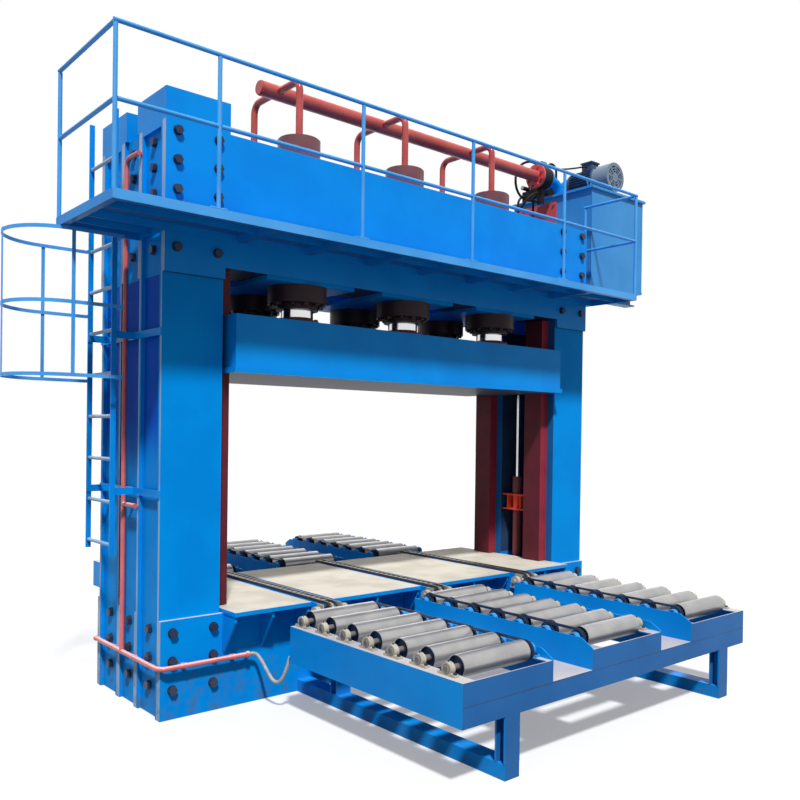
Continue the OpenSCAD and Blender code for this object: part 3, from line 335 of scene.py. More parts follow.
@dataclass(frozen=True)
class Finish:
    """A material of the press, made once and shared."""

    name: str
    coat: Coat
    texture: Texture
    zones: tuple[Zone, ...] = ()
    dust: float = 0.0
    grime: float = 0.0
    blotch: float = 2.2
    clear: float = 0.0
    gloss: float = 0.12

    def raised(self, graph: Surface) -> tuple[Value, float]:
        """The height of the surface and how strongly it shows.

        Args:
            graph: the material's graph.

        Returns:
            Height value and bump strength.
        """
        if self.texture is not Texture.CHEQUER:
            grain = GRAINS[self.texture]
            return grain.height(graph), grain.strength
        turn = math.tau / CHEQUER_PITCH
        lens = ((graph.x + graph.y) * turn).sine() * ((graph.x - graph.y) * turn).sine()
        return lens.step(*CHEQUER_EDGE) * looks_up(graph), CHEQUER_STRENGTH

    def painted(self, graph: Surface) -> tuple[bpy.types.NodeSocket, Value, "Value | float"]:
        """The clean coat with its zones.

        Args:
            graph: the material's graph.

        Returns:
            Colour, roughness and metal.
        """
        blotch = graph.noise(self.blotch, BLOTCH_DETAIL).step(*BLOTCH_EDGE)
        colour = graph.blend(self.coat.colour, self.coat.drift, blotch)
        rough = graph.noise(SHEEN_SCALE) * SHEEN_SWING + (self.coat.rough - SHEEN_SWING / 2)
        metal: Value | float = self.coat.metal
        for zone in self.zones:
            mask = zone.where(graph)
            colour = graph.blend(colour, graph.blend(zone.coat.colour, zone.coat.drift, blotch), mask)
            rough = mask.pick(rough, zone.coat.rough)
            if isinstance(metal, Value) or metal != zone.coat.metal:
                metal = mask.pick(metal, zone.coat.metal)
        return colour, rough, metal

    def settled(self, graph: Surface) -> Value:
        """Where dust lies on faces that look up."""
        specks = graph.noise(*DUST_NOISE).step(DUST_EDGE[0] - DUST_SPREAD * self.dust, DUST_EDGE[1])
        return graph.nz.step(*DUST_SLOPE) * specks * self.dust

    def soiled(self, graph: Surface) -> Value:
        """Where soil lies near the floor."""
        low = 1.0 - graph.z.step(0.0, SOIL_HEIGHT)
        return low * graph.noise(*SOIL_NOISE).step(*SOIL_EDGE) * self.grime

    def material(self) -> bpy.types.Material:
        """Makes the material on first use.

        Returns:
            The Blender material.
        """
        if self.name in MADE:
            return MADE[self.name]
        graph = Surface(self.name)
        colour, rough, metal = self.painted(graph)
        if self.dust:
            settled = self.settled(graph)
            colour = graph.blend(colour, DUST, settled)
            rough = rough + settled * DUST_ROUGH
        if self.grime:
            soil = self.soiled(graph)
            colour = graph.blend(colour, SOIL, soil)
            rough = rough + soil * SOIL_ROUGH
        height, strength = self.raised(graph)
        bump = graph.add("ShaderNodeBump", None,
                         {"Strength": strength, "Distance": BUMP_DISTANCE, "Height": height})
        shader = graph.add("ShaderNodeBsdfPrincipled", None, {
            "Base Color": colour, "Roughness": rough, "Metallic": metal, "Normal": bump.outputs[0],
            "Coat Weight": self.clear, "Coat Roughness": CLEAR_ROUGH, "Specular IOR Level": self.gloss})
        graph.close("ShaderNodeOutputMaterial", shader)
        MADE[self.name] = graph.owner
        return graph.owner


# Materials made so far, by name
MADE: dict[str, bpy.types.Material] = {}

# Paints and metals, with the coats that are painted shade and painted light
AZURE = Coat((0.0, 0.268, 0.755), (0.0, 0.228, 0.685), 0.42)
SKY = Coat((0.085, 0.365, 0.800), (0.050, 0.300, 0.720), 0.40)
HAZE = Coat((0.055, 0.285, 0.640), (0.040, 0.250, 0.590), 0.42)
# Painted shade: a darker copy of the frame's blue for the shaded upper part of the columns' outer webs
WEB_SHADE_BLUE = Coat((0.0, 0.086, 0.560), (0.0, 0.070, 0.490), 0.50)
# Painted shade: a darker copy of the frame's blue, on the columns' inner faces, the roller table's near
# end faces and the platform's undersides
SHADED_BLUE = Coat((0.016, 0.125, 0.365), (0.012, 0.105, 0.320), 0.46)
# Dark navy paint on the roller ends and the table seams; on the faces between the front and rear columns
# it is painted shade
NAVY = Coat((0.030, 0.060, 0.14), (0.020, 0.040, 0.10), 0.45)
# A pale blue-grey coat, on the outer edges of the plates and flanges and on the ladder rungs
PALE_COAT = Coat((0.40, 0.48, 0.60), (0.20, 0.38, 0.64), 0.50)
CHALK = Coat((0.56, 0.52, 0.50), (0.40, 0.40, 0.45), 0.70)
# Painted shade: near-black for the undersides of the upper beams over the platen
BEAM_UNDERSIDE_SHADE = Coat((0.008, 0.020, 0.060), (0.016, 0.014, 0.034), 0.55)
# Painted shade: a dark grey-blue for the platen's underside
PLATEN_UNDERSIDE_SHADE = Coat((0.040, 0.050, 0.095), (0.055, 0.060, 0.085), 0.5)
CREAM = Coat((0.60, 0.56, 0.475), (0.48, 0.445, 0.37), 0.62)
PUTTY = Coat((0.47, 0.44, 0.36), (0.36, 0.33, 0.27), 0.55)
SILVER = Coat((0.44, 0.43, 0.425), (0.36, 0.36, 0.365), 0.33, 0.65)
STEEL = Coat((0.16, 0.15, 0.15), (0.12, 0.11, 0.11), 0.40, 0.6)
OILED = Coat((0.080, 0.074, 0.070), (0.13, 0.115, 0.10), 0.42, 0.5)
MAROON = Coat((0.200, 0.075, 0.085), (0.145, 0.052, 0.060), 0.36)
WINE = Coat((0.050, 0.029, 0.033), (0.034, 0.020, 0.026), 0.40)
# Painted light: brighter red for the lit faces of the right-hand guide rails
LIT_RAIL_RED = Coat((0.30, 0.030, 0.050), (0.24, 0.024, 0.042), 0.40)
CORAL = Coat((0.52, 0.095, 0.085), (0.42, 0.065, 0.06), 0.34)
SCARLET = Coat((0.60, 0.085, 0.090), (0.50, 0.060, 0.065), 0.34)
VERMILION = Coat((0.86, 0.095, 0.050), (0.74, 0.075, 0.045), 0.36)
# Painted highlight: pale pink for the conduit's upward faces
CONDUIT_TOP_HIGHLIGHT = Coat((0.80, 0.50, 0.48), (0.72, 0.40, 0.40), 0.45)
SLATE = Coat((0.20, 0.26, 0.34), (0.15, 0.20, 0.27), 0.42)
JET = Coat((0.012, 0.012, 0.014), (0.025, 0.024, 0.026), 0.45)

# Slopes of faces
SQUARE_ON = 0.9
UNDER_SLOPE = -0.5
UPPER_SLOPE = 0.55

# Axes of the rollers, in front of the press and behind it
FIRST_AXIS = centre("roller_b1")
FIRST_AXIS_Y = -FIRST_AXIS.y
AXIS_PITCH = FIRST_AXIS.y - centre("roller_b2").y
AXIS_Z = FIRST_AXIS.z

# Planes and bands where a coat begins or ends, in metres
BEAM_TOP = 4.031
WEB_TOP_GAP = 0.005
COLUMN_TOP = corners("upper_beam_front")[0].z - WEB_TOP_GAP
HEAD_UNDER = 3.3
CHEEK_Y: Band = (0.500, 0.552)
BAY_PLATE_Y: Band = (0.123, 0.176)
PLATE_EDGE_X = 2.288
OUTER_WEB_X: Band = (2.240, 2.275)
# Heights over which the painted shade on the outer webs fades in
WEB_SHADE_FADE: Band = (1.60, 2.05)
INNER_FACE_X: Band = (1.820, 1.850)
BAY_FACE_Y: Band = (0.140, 0.170)
BAY_FOOT = 0.72
BEAM_LEDGE_Z: Band = (0.665, 0.675)
BEAM_LEDGE_Y = 0.519
BED_TOP = 0.695
TRACK_END_Y = 0.775
RUNG_Y: Band = (-0.088, 0.318)
DECK_FASCIA_Y = -1.078
TABLE_FRONT_Y = -2.4
TABLE_SEAM_Y = 2.63
TABLE_SEAM_Z: Band = (0.4785, 0.4830)
TABLE_LEDGE_Z: Band = (0.60, 0.62)
TABLE_TRAY_Z: Band = (0.47, 0.49)
SPROCKET_RADII: Band = (0.0182, 0.0632)
SHAFT_RADIUS = 0.0178
INSERT_RADIUS = 0.0285
BLUE_BLOCKS_X: tuple[Band, ...] = ((-0.825, -0.780), (-0.385, -0.340), (0.780, 0.825))
ROD_FOOT_Z: Band = (2.70, 2.83)
LIFT_BRACKET_Z: Band = (1.165, 1.338)
LIFT_BARREL_Z = 1.3545
HEADER_END_X = 2.10
HEADER_END_Z = 4.0
TANK_NEAR_X = 2.4615
TANK_NEAR_Z = 3.60
TANK_FAR_X = 3.3805
COWL_Y = -0.2095
PREFILL_X = 2.276
PREFILL_Z = 4.4
SOLENOID_Z = 4.70


def looks_up(graph: Surface) -> Value:
    """One on level faces that look up."""
    return graph.nz > SQUARE_ON


def looks_down(graph: Surface) -> Value:
    """One on level faces that look down."""
    return graph.nz < -SQUARE_ON


def looks_forward(graph: Surface) -> Value:
    """One on upright faces that look to the front."""
    return graph.ny < -SQUARE_ON


def square_to_x(graph: Surface) -> Value:
    """One on faces that look to the left or to the right."""
    return abs(graph.nx) > SQUARE_ON


def square_to_y(graph: Surface) -> Value:
    """One on faces that look to the front or to the back."""
    return abs(graph.ny) > SQUARE_ON


def within(value: Value, band: Band) -> Value:
    """One where a value lies inside a band."""
    return (value > band[0]) * (value < band[1])


def axle_distance(graph: Surface) -> Value:
    """Distance of a point from the nearest roller axis, the same on both roller tables.

    Args:
        graph: the material's graph.

    Returns:
        The distance in metres.
    """
    turns = (abs(graph.y) - FIRST_AXIS_Y) / AXIS_PITCH
    across = (turns - turns.nearest()) * AXIS_PITCH
    up = graph.z - AXIS_Z
    return (across * across + up * up).root()


def plate_edge(graph: Surface) -> Value:
    """One on the pale outer edges of the cheek plates and of the columns' flanges."""
    bands = within(abs(graph.y), CHEEK_Y).either(within(abs(graph.y), BAY_PLATE_Y))
    return square_to_x(graph) * (abs(graph.x) > PLATE_EDGE_X) * (graph.z < BEAM_TOP) * bands


def painted_web_shade(graph: Surface) -> Value:
    """One on the upper part of the columns' outer webs, fading out downward; there a darker coat is
    painted shade for the shade in the recess.
    """
    web = square_to_x(graph) * within(abs(graph.x), OUTER_WEB_X)
    return web * graph.z.step(*WEB_SHADE_FADE) * (graph.z < COLUMN_TOP)


def blue_block(graph: Surface) -> Value:
    """One on the pillow blocks that are painted with the frame."""
    first, second, third = [within(graph.x, band) for band in BLUE_BLOCKS_X]
    return first.either(second).either(third)


# Finishes of the nodes and of the pieces made here
RAILING_BLUE = Finish("railing_enamel", SKY, Texture.PEEL, dust=0.18, clear=0.03)
HEAD_BLUE = Finish("head_enamel", AZURE, Texture.PEEL, (
    # Painted shade on the upper beams' undersides
    Zone(BEAM_UNDERSIDE_SHADE, lambda g: looks_down(g) * (g.z < HEAD_UNDER)),
    Zone(PALE_COAT, plate_edge)), dust=0.18, clear=0.03)
BASE_BLUE = Finish("base_enamel", AZURE, Texture.PEEL, (
    # Painted shade on the upper outer webs of the columns
    Zone(WEB_SHADE_BLUE, painted_web_shade),
    # Painted shade on the columns' inner faces
    Zone(SHADED_BLUE, lambda g: square_to_x(g) * within(abs(g.x), INNER_FACE_X)),
    # Painted shade on the faces between the front and rear columns
    Zone(NAVY, lambda g: square_to_y(g) * within(abs(g.y), BAY_FACE_Y) * (g.z > BAY_FOOT)),
    Zone(PALE_COAT, plate_edge),
    Zone(CHALK, lambda g: looks_up(g) * within(g.z, BEAM_LEDGE_Z) * (abs(g.y) > BEAM_LEDGE_Y))),
    dust=0.35, grime=0.6, gloss=0.04)
PLATEN_BLUE = Finish("platen_enamel", AZURE, Texture.PEEL, (
    # Painted shade on the platen's underside
    Zone(PLATEN_UNDERSIDE_SHADE, looks_down),), dust=0.25, clear=0.03)
LADDER_BLUE = Finish("ladder_enamel", AZURE, Texture.PEEL, (
    Zone(PALE_COAT, lambda g: within(g.y, RUNG_Y)),), dust=0.2, clear=0.03)
TABLE_BLUE = Finish("table_enamel_dust_and_shade", AZURE, Texture.PEEL, (
    # Painted shade on the front faces at the near end of the roller table
    Zone(SHADED_BLUE, lambda g: looks_forward(g) * (g.y < TABLE_FRONT_Y)),
    Zone(NAVY, lambda g: square_to_y(g) * (abs(g.y) > TABLE_SEAM_Y) * within(g.z, TABLE_SEAM_Z)),
    Zone(CHALK, lambda g: looks_up(g) * within(g.z, TABLE_LEDGE_Z)),
    Zone(CHALK, lambda g: looks_up(g) * within(g.z, TABLE_TRAY_Z))), dust=0.12, grime=0.35, clear=0.03)
TRACK = Finish("track_enamel", AZURE, Texture.PEEL, (
    Zone(PUTTY, lambda g: abs(g.y) > TRACK_END_Y),), dust=0.2, clear=0.05)
DECK_BLUE = Finish("deck_enamel", AZURE, Texture.CHEQUER, (
    # Painted shade on the platform's undersides
    Zone(SHADED_BLUE, lambda g: g.nz < UNDER_SLOPE),
    # Painted light: a paler blue on the platform's front fascia
    Zone(SKY, lambda g: looks_forward(g) * (g.y < DECK_FASCIA_Y))), dust=0.25, clear=0.03)
BED = Finish("table_plate", AZURE, Texture.SCUFFED, (
    Zone(CREAM, lambda g: looks_up(g) * (g.z > BED_TOP)),), blotch=3.5)
ROLLER = Finish("roller_steel", SILVER, Texture.TURNED, (
    Zone(NAVY, lambda g: within(axle_distance(g), SPROCKET_RADII)),
    Zone(STEEL, lambda g: square_to_x(g) * (axle_distance(g) < SHAFT_RADIUS))), blotch=7.0)
INSERT = Finish("insert_steel", Coat((0.30, 0.29, 0.28), (0.22, 0.21, 0.21), 0.42, 0.6),
                Texture.POLISHED)
BEARING = Finish("bearing_paint", PUTTY, Texture.CAST, (
    Zone(HAZE, blue_block),
    Zone(JET, lambda g: square_to_x(g) * (axle_distance(g) < INSERT_RADIUS))), grime=0.5, blotch=14.0)
CHAIN = Finish("oiled_chain", OILED, Texture.CAST, blotch=30.0)
DRIVE = Finish("drive_chain", Coat((0.045, 0.085, 0.18), (0.05, 0.055, 0.07), 0.42, 0.5),
               Texture.CAST, blotch=30.0)
BOLT = Finish("black_bolts", Coat((0.030, 0.045, 0.085), (0.055, 0.065, 0.10), 0.40, 0.5), Texture.CAST)
CYLINDER = Finish("maroon_paint", MAROON, Texture.PEEL, dust=0.35, clear=0.3)
# Painted shade and painted light: the rails' dark maroon is their red paint in shade, and the right-hand
# rails' faces square to Y take a brighter, lit red
RAIL = Finish("rail_paint", Coat((0.125, 0.018, 0.030), (0.09, 0.015, 0.024), 0.42), Texture.PEEL, (
    Zone(LIT_RAIL_RED, lambda g: square_to_y(g) * (g.x > 0.0)),), blotch=4.0)
GLAND = Finish("gland_paint", WINE, Texture.CAST, dust=0.2)
CHROME = Finish("chrome_rod", Coat((0.78, 0.79, 0.80), (0.70, 0.71, 0.73), 0.13, 1.0),
                Texture.POLISHED, (Zone(MAROON, lambda g: within(g.z, ROD_FOOT_Z)),))
LIFT = Finish("lift_paint", Coat((0.20, 0.055, 0.070), (0.15, 0.045, 0.055), 0.4), Texture.PEEL, (
    # The lift brackets are red paint; this coat is brighter than that paint, as painted light against the
    # shade they sit in
    Zone(VERMILION, lambda g: within(g.z, LIFT_BRACKET_Z)),
    Zone(MAROON, lambda g: g.z > LIFT_BARREL_Z)))
PIPE = Finish("coral_pipe", CORAL, Texture.PEEL, (
    Zone(SCARLET, lambda g: (g.x > HEADER_END_X) * (g.z > HEADER_END_Z)),), clear=0.3, blotch=5.0)
# The conduit's upward faces carry a painted highlight
CONDUIT = Finish("conduit_paint", Coat((0.64, 0.15, 0.16), (0.54, 0.11, 0.12), 0.34), Texture.PEEL, (
    Zone(CONDUIT_TOP_HIGHLIGHT, lambda g: g.nz > UPPER_SLOPE),), clear=0.3, blotch=5.0)
# Painted light: the lid and tank take HAZE, a washed-out copy of the frame's blue for the bright haze on
# them
LID = Finish("lid_enamel", HAZE, Texture.PEEL, dust=0.2, clear=0.03)
TANK = Finish("tank_enamel", HAZE, Texture.PEEL, (
    Zone(SCARLET, lambda g: (g.x < TANK_NEAR_X) * (g.z > TANK_NEAR_Z)),
    Zone(JET, lambda g: g.x > TANK_FAR_X)), dust=0.2, clear=0.05)
MOTOR = Finish("motor_paint", Coat((0.050, 0.095, 0.19), (0.036, 0.070, 0.145), 0.45), Texture.CAST, (
    Zone(SLATE, lambda g: g.y < COWL_Y),))
PUMP = Finish("pump_paint", AZURE, Texture.CAST, (
    Zone(JET, lambda g: (g.x < PREFILL_X) * (g.z > PREFILL_Z)),))
BLACK = Finish("black_metal", JET, Texture.CAST, (
    Zone(SILVER, lambda g: square_to_x(g) * (g.z > SOLENOID_Z)),))
FAN = Finish("fan_plastic", JET, Texture.RUBBER)
RUBBER = Finish("black_rubber", Coat((0.012, 0.012, 0.012), (0.022, 0.021, 0.02), 0.6), Texture.RUBBER)
FLEX = Finish("grey_flex", Coat((0.42, 0.42, 0.41), (0.30, 0.30, 0.30), 0.5), Texture.RUBBER, blotch=20.0)
WELD = Finish("weld_enamel", Coat((0.005, 0.17, 0.60), (0.004, 0.13, 0.48), 0.4), Texture.CAST)

# Directions, numbers of sides, and the shapes of bolts and beads in shares of their size
ALONG_X = (1, 0, 0)
ALONG_Y = (0, 1, 0)
UPWARD = (0, 0, 1)
HEXAGON = 6
SMALL_ROUND = 8
WASHER_ROUND = 20
ROUND = 24
WASHER_SHAPE = ((0.66, 0.0), (0.66, 0.10), (0.62, 0.13))
HEAD_SHAPE = ((0.577, 0.0), (0.577, 0.34), (0.48, 0.42))
HEAD_SEAT = 0.125
RIPPLE_PITCH = 0.02
RIPPLE_DEPTH = 0.82
FEWEST_RIPPLES = 6


class Shop:
    """Collects small fittings into one mesh."""

    def __init__(self) -> None:
        """Starts an empty mesh."""
        self.mesh = bmesh.new()

    def ring(self, spots: Iterable[Vector]) -> list[bmesh.types.BMVert]:
        """One ring of corners."""
        return [self.mesh.verts.new(spot) for spot in spots]

    def skin(self, rings: Sequence[Sequence[bmesh.types.BMVert]]) -> None:
        """Closes rings of corners into a solid.

        Args:
            rings: rings of the same length, from the foot to the tip.
        """
        for low, high in zip(rings, rings[1:]):
            for k in range(len(low)):
                following = (k + 1) % len(low)
                self.mesh.faces.new((low[k], low[following], high[following], high[k]))
        self.mesh.faces.new(list(reversed(rings[0])))
        self.mesh.faces.new(rings[-1])

    def lathe(self, foot: Sequence[float], axis: Sequence[float],
              profile: Iterable[tuple[float, float]], sides: int) -> None:
        """Turns a profile round an axis.

        Args:
            foot: point where the axis starts.
            axis: direction of the axis.
            profile: pairs of radius and height from the foot to the tip.
            sides: number of sides; six gives a hexagon.
        """
        turn = Vector(axis).to_track_quat("Z", "Y").to_matrix()
        angles = [math.tau * k / sides for k in range(sides)]
        self.skin([self.ring(
            Vector(foot) + turn @ Vector((radius * math.cos(a), radius * math.sin(a), height))
            for a in angles) for radius, height in profile])

    def bolt(self, foot: Sequence[float], axis: Sequence[float], across: float) -> None:
        """Hexagon head with a chamfer, on a washer.

        Args:
            foot: point under the washer.
            axis: direction of the bolt's head.
            across: width across the flats.
        """
        start = Vector(foot) + Vector(axis).normalized() * across * HEAD_SEAT
        self.lathe(foot, axis, [(across * r, across * h) for r, h in WASHER_SHAPE], WASHER_ROUND)
        self.lathe(start, axis, [(across * r, across * h) for r, h in HEAD_SHAPE], HEXAGON)

    def bead(self, start: Sequence[float], end: Sequence[float], radius: float) -> None:
        """Weld bead with its ripples along a straight seam.

        Args:
            start: first end of the seam.
            end: last end of the seam.
            radius: radius of the bead.
        """
        run = Vector(end) - Vector(start)
        count = max(FEWEST_RIPPLES, int(run.length / RIPPLE_PITCH))
        profile = [(radius * (1.0 if k % 2 else RIPPLE_DEPTH), run.length * k / count)
                   for k in range(count + 1)]
        self.lathe(start, run, profile, SMALL_ROUND)

    def plate(self, middle: Sequence[float], size: Point, chamfer: float) -> None:
        """Flat plate with its top edges broken.

        Args:
            middle: centre of the underside.
            size: length along X, along Y, and thickness.
            chamfer: width of the broken edge.
        """
        levels = ((0.0, 0.0), (0.0, size[2] - chamfer), (chamfer, size[2]))
        signs = ((-1, -1), (1, -1), (1, 1), (-1, 1))
        self.skin([self.ring(
            Vector(middle) + Vector((sx * (size[0] / 2 - inset), sy * (size[1] / 2 - inset), height))
            for sx, sy in signs) for inset, height in levels])

    def strap(self, path: Iterable[Sequence[float]], wide: Sequence[float],
              size: tuple[float, float]) -> None:
        """Sweeps a flat bar along a path with mitred corners.

        Args:
            path: points along the middle of the bar.
            wide: direction of the bar's width, square to the path.
            size: width and thickness.
        """
        spots = [Vector(spot) for spot in path]
        across = Vector(wide).normalized()
        half = across * (size[0] / 2)
        signs = ((-1, -1), (-1, 1), (1, 1), (1, -1))
        runs = [(b - a).normalized().cross(across) for a, b in zip(spots, spots[1:])]
        rings = []
        for spot, last, following in zip(spots, [runs[0], *runs], [*runs, runs[-1]]):
            out = (last + following) / (1.0 + last.dot(following)) * (size[1] / 2)
            rings.append(self.ring(spot + out * so + half * sh for so, sh in signs))
        self.skin(rings)

    def done(self, name: str, finish: Finish) -> bpy.types.Object:
        """Makes the piece and lets it ride on the press's frame.

        Args:
            name: name of the piece.
            finish: its finish.

        Returns:
            The new object.
        """
        data = bpy.data.meshes.new(name)
        self.mesh.to_mesh(data)
        self.mesh.free()
        piece = bpy.data.objects.new(name, data)
        bpy.context.scene.collection.objects.link(piece)
        data.materials.append(finish.material())
        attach(piece, ROOT)
        LOG.info("made %s with %d faces", name, len(data.polygons))
        return piece


def dress(finish: Finish, *nodes: str) -> None:
    """Gives CAD nodes a finish.

    Args:
        finish: the finish.
        nodes: names of the nodes.
    """
    for name in nodes:
        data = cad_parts[name].data
        data.materials.clear()
        data.materials.append(finish.material())
    LOG.info("%s on %s", finish.name, ", ".join(nodes))


@dataclass
class PressFrame:
    """Columns, beams, ties, bolts and guide rails."""

    sections: tuple[Band, ...] = ((0.114, 0.976), (1.204, 1.811))
    gusset_half: float = 0.010
    gusset_bead: float = 0.006
    bead_proud: float = 0.001
    bead_ends: tuple[float, float] = (0.020, 0.004)
    web_depth: float = 0.025
    web_foot: float = 0.010
    web_bead: float = 0.007
    flange: float = 0.040

    def dress(self) -> None:
        """Paints the frame."""
        dress(BASE_BLUE, "lower_beam_front", "lower_beam_rear", "column_front_left",
              "column_front_right", "column_rear_left", "column_rear_right", "frame_ties")
        dress(HEAD_BLUE, "upper_beam_front", "upper_beam_rear")
        dress(BOLT, "frame_bolts")
        dress(RAIL, "guide_rails")

    def gusset_welds(self) -> None:
        """Lays the weld beads on both faces of the gussets under the table."""
        shop = Shop()
        beam_low, beam_high = corners("lower_beam_front")
        face = self.bead_proud - beam_low.y
        low = corners("bed_tables")[0].z + self.bead_ends[0]
        high = beam_high.z - self.bead_ends[1]
        gussets = [x for start, end in self.sections for x in (start, (start + end) / 2, end)]
        for x, sx, sy, side in product(gussets, BOTH_SIDES, BOTH_SIDES, BOTH_SIDES):
            seam = (sx * x + side * self.gusset_half, sy * face)
            shop.bead((*seam, low), (*seam, high), self.gusset_bead)
        shop.done("gusset_welds", WELD)

    def column_welds(self) -> None:
        """Lays the weld beads in the corners of the columns' outer webs."""
        shop = Shop()
        low, high = corners("column_front_left")
        web = -low.x - self.web_depth
        sides = (self.flange - high.y, -low.y - self.flange)
        foot = corners("lower_beam_front")[1].z + self.web_foot
        for sx, y, sy in product(BOTH_SIDES, sides, BOTH_SIDES):
            seam = (sx * web, sy * y)
            shop.bead((*seam, foot), (*seam, COLUMN_TOP), self.web_bead)
        shop.done("column_welds", WELD)


@dataclass
class Cylinders:
    """Pressing and lifting cylinders with the platen that they move."""

    def dress(self) -> None:
        """Paints the cylinders and the platen."""
        dress(CYLINDER, "cylinder_barrels")
        dress(GLAND, "cylinder_glands")
        dress(CHROME, "piston_rods", "lift_rods")
        dress(PLATEN_BLUE, "platen")
        dress(LIFT, "lift_cylinders")


@dataclass
class Bed:
    """Table sections and drag chains."""

    def dress(self) -> None:
        """Paints the table and its chains."""
        dress(BED, "bed_tables")
        dress(TRACK, "chain_tracks")
        dress(CHAIN, "transfer_chains")


@dataclass
class PowerUnit:
    """Oil tank, motor, pump, valves and pipes."""

    lid_thick: float = 0.025
    lid_margin: float = 0.03
    lid_count: int = 8
    lid_screw: float = 0.022
    lid_overhang: float = 0.025
    tank_foot: float = 3.524
    tank_gap: float = 0.004
    tank_bead: float = 0.005
    cowl_y: float = -0.228
    cowl_radius: float = 0.1555
    cowl_count: int = 4
    cowl_screw: float = 0.016
    conduit_corner: Point = (-2.318, -0.599, 0.362)
    strap_radius: float = 0.0198
    strap_width: float = 0.024
    strap_chamfer: tuple[float, float] = (0.0006, 0.002)
    side_strap_y: tuple[float, ...] = (-0.175, 0.175, 0.500)
    front_strap_x: tuple[float, ...] = (-2.130, -1.760)

    def dress(self) -> None:
        """Paints the power unit."""
        dress(TANK, "oil_tank")
        dress(LID, "tank_lid")
        dress(MOTOR, "pump_motor")
        dress(FAN, "motor_fan")
        dress(PUMP, "pump_unit")
        dress(BLACK, "valve_block")
        dress(RUBBER, "pressure_hoses")
        dress(PIPE, "oil_header")
        dress(CONDUIT, "conduit_pipes")

    def lid_screws(self) -> None:
        """Sets the screws along the front and the back of the tank lid."""
        shop = Shop()
        low, high = corners("tank_lid")
        start = low.x + self.lid_margin
        run = high.x - self.lid_margin - start
        for k in range(self.lid_count):
            x = start + run * k / (self.lid_count - 1)
            for y in (low.y + self.lid_margin, high.y - self.lid_margin):
                shop.bolt((x, y, low.z + self.lid_thick), UPWARD, self.lid_screw)
        shop.done("lid_screws", BOLT)

    def tank_welds(self) -> None:
        """Lays the corner seams of the tank."""
        shop = Shop()
        low, high = corners("tank_lid")
        top = low.z - self.tank_gap
        inset = self.lid_overhang
        for seam in product((low.x + inset, high.x - inset), (low.y + inset, high.y - inset)):
            shop.bead((*seam, self.tank_foot), (*seam, top), self.tank_bead)
        shop.done("tank_welds", LID)

    def cowl_screws(self) -> None:
        """Sets the screws that hold the fan cowl."""
        shop = Shop()
        axis = centre("motor_fan")
        middle = Vector((axis.x, self.cowl_y, axis.z))
        for k in range(self.cowl_count):
            angle = math.tau * (k + 0.5) / self.cowl_count
            out = Vector((math.cos(angle), 0.0, math.sin(angle)))
            shop.bolt(middle + out * self.cowl_radius, out, self.cowl_screw)
        shop.done("cowl_screws", BOLT)

    def conduit_straps(self) -> None:
        """Clips the rigid conduit at its saddles."""
        shop = Shop()
        radius, width = self.strap_radius, self.strap_width
        inset, run = self.strap_chamfer
        band = [(radius - inset, 0.0), (radius, run), (radius, width - run), (radius - inset, width)]
        side_x, front_y, z = self.conduit_corner
        for y in self.side_strap_y:
            shop.lathe((side_x, y - width / 2, z), ALONG_Y, band, ROUND)
        for x in self.front_strap_x:
            shop.lathe((x - width / 2, front_y, z), ALONG_X, band, ROUND)
        shop.done("conduit_straps", CONDUIT)


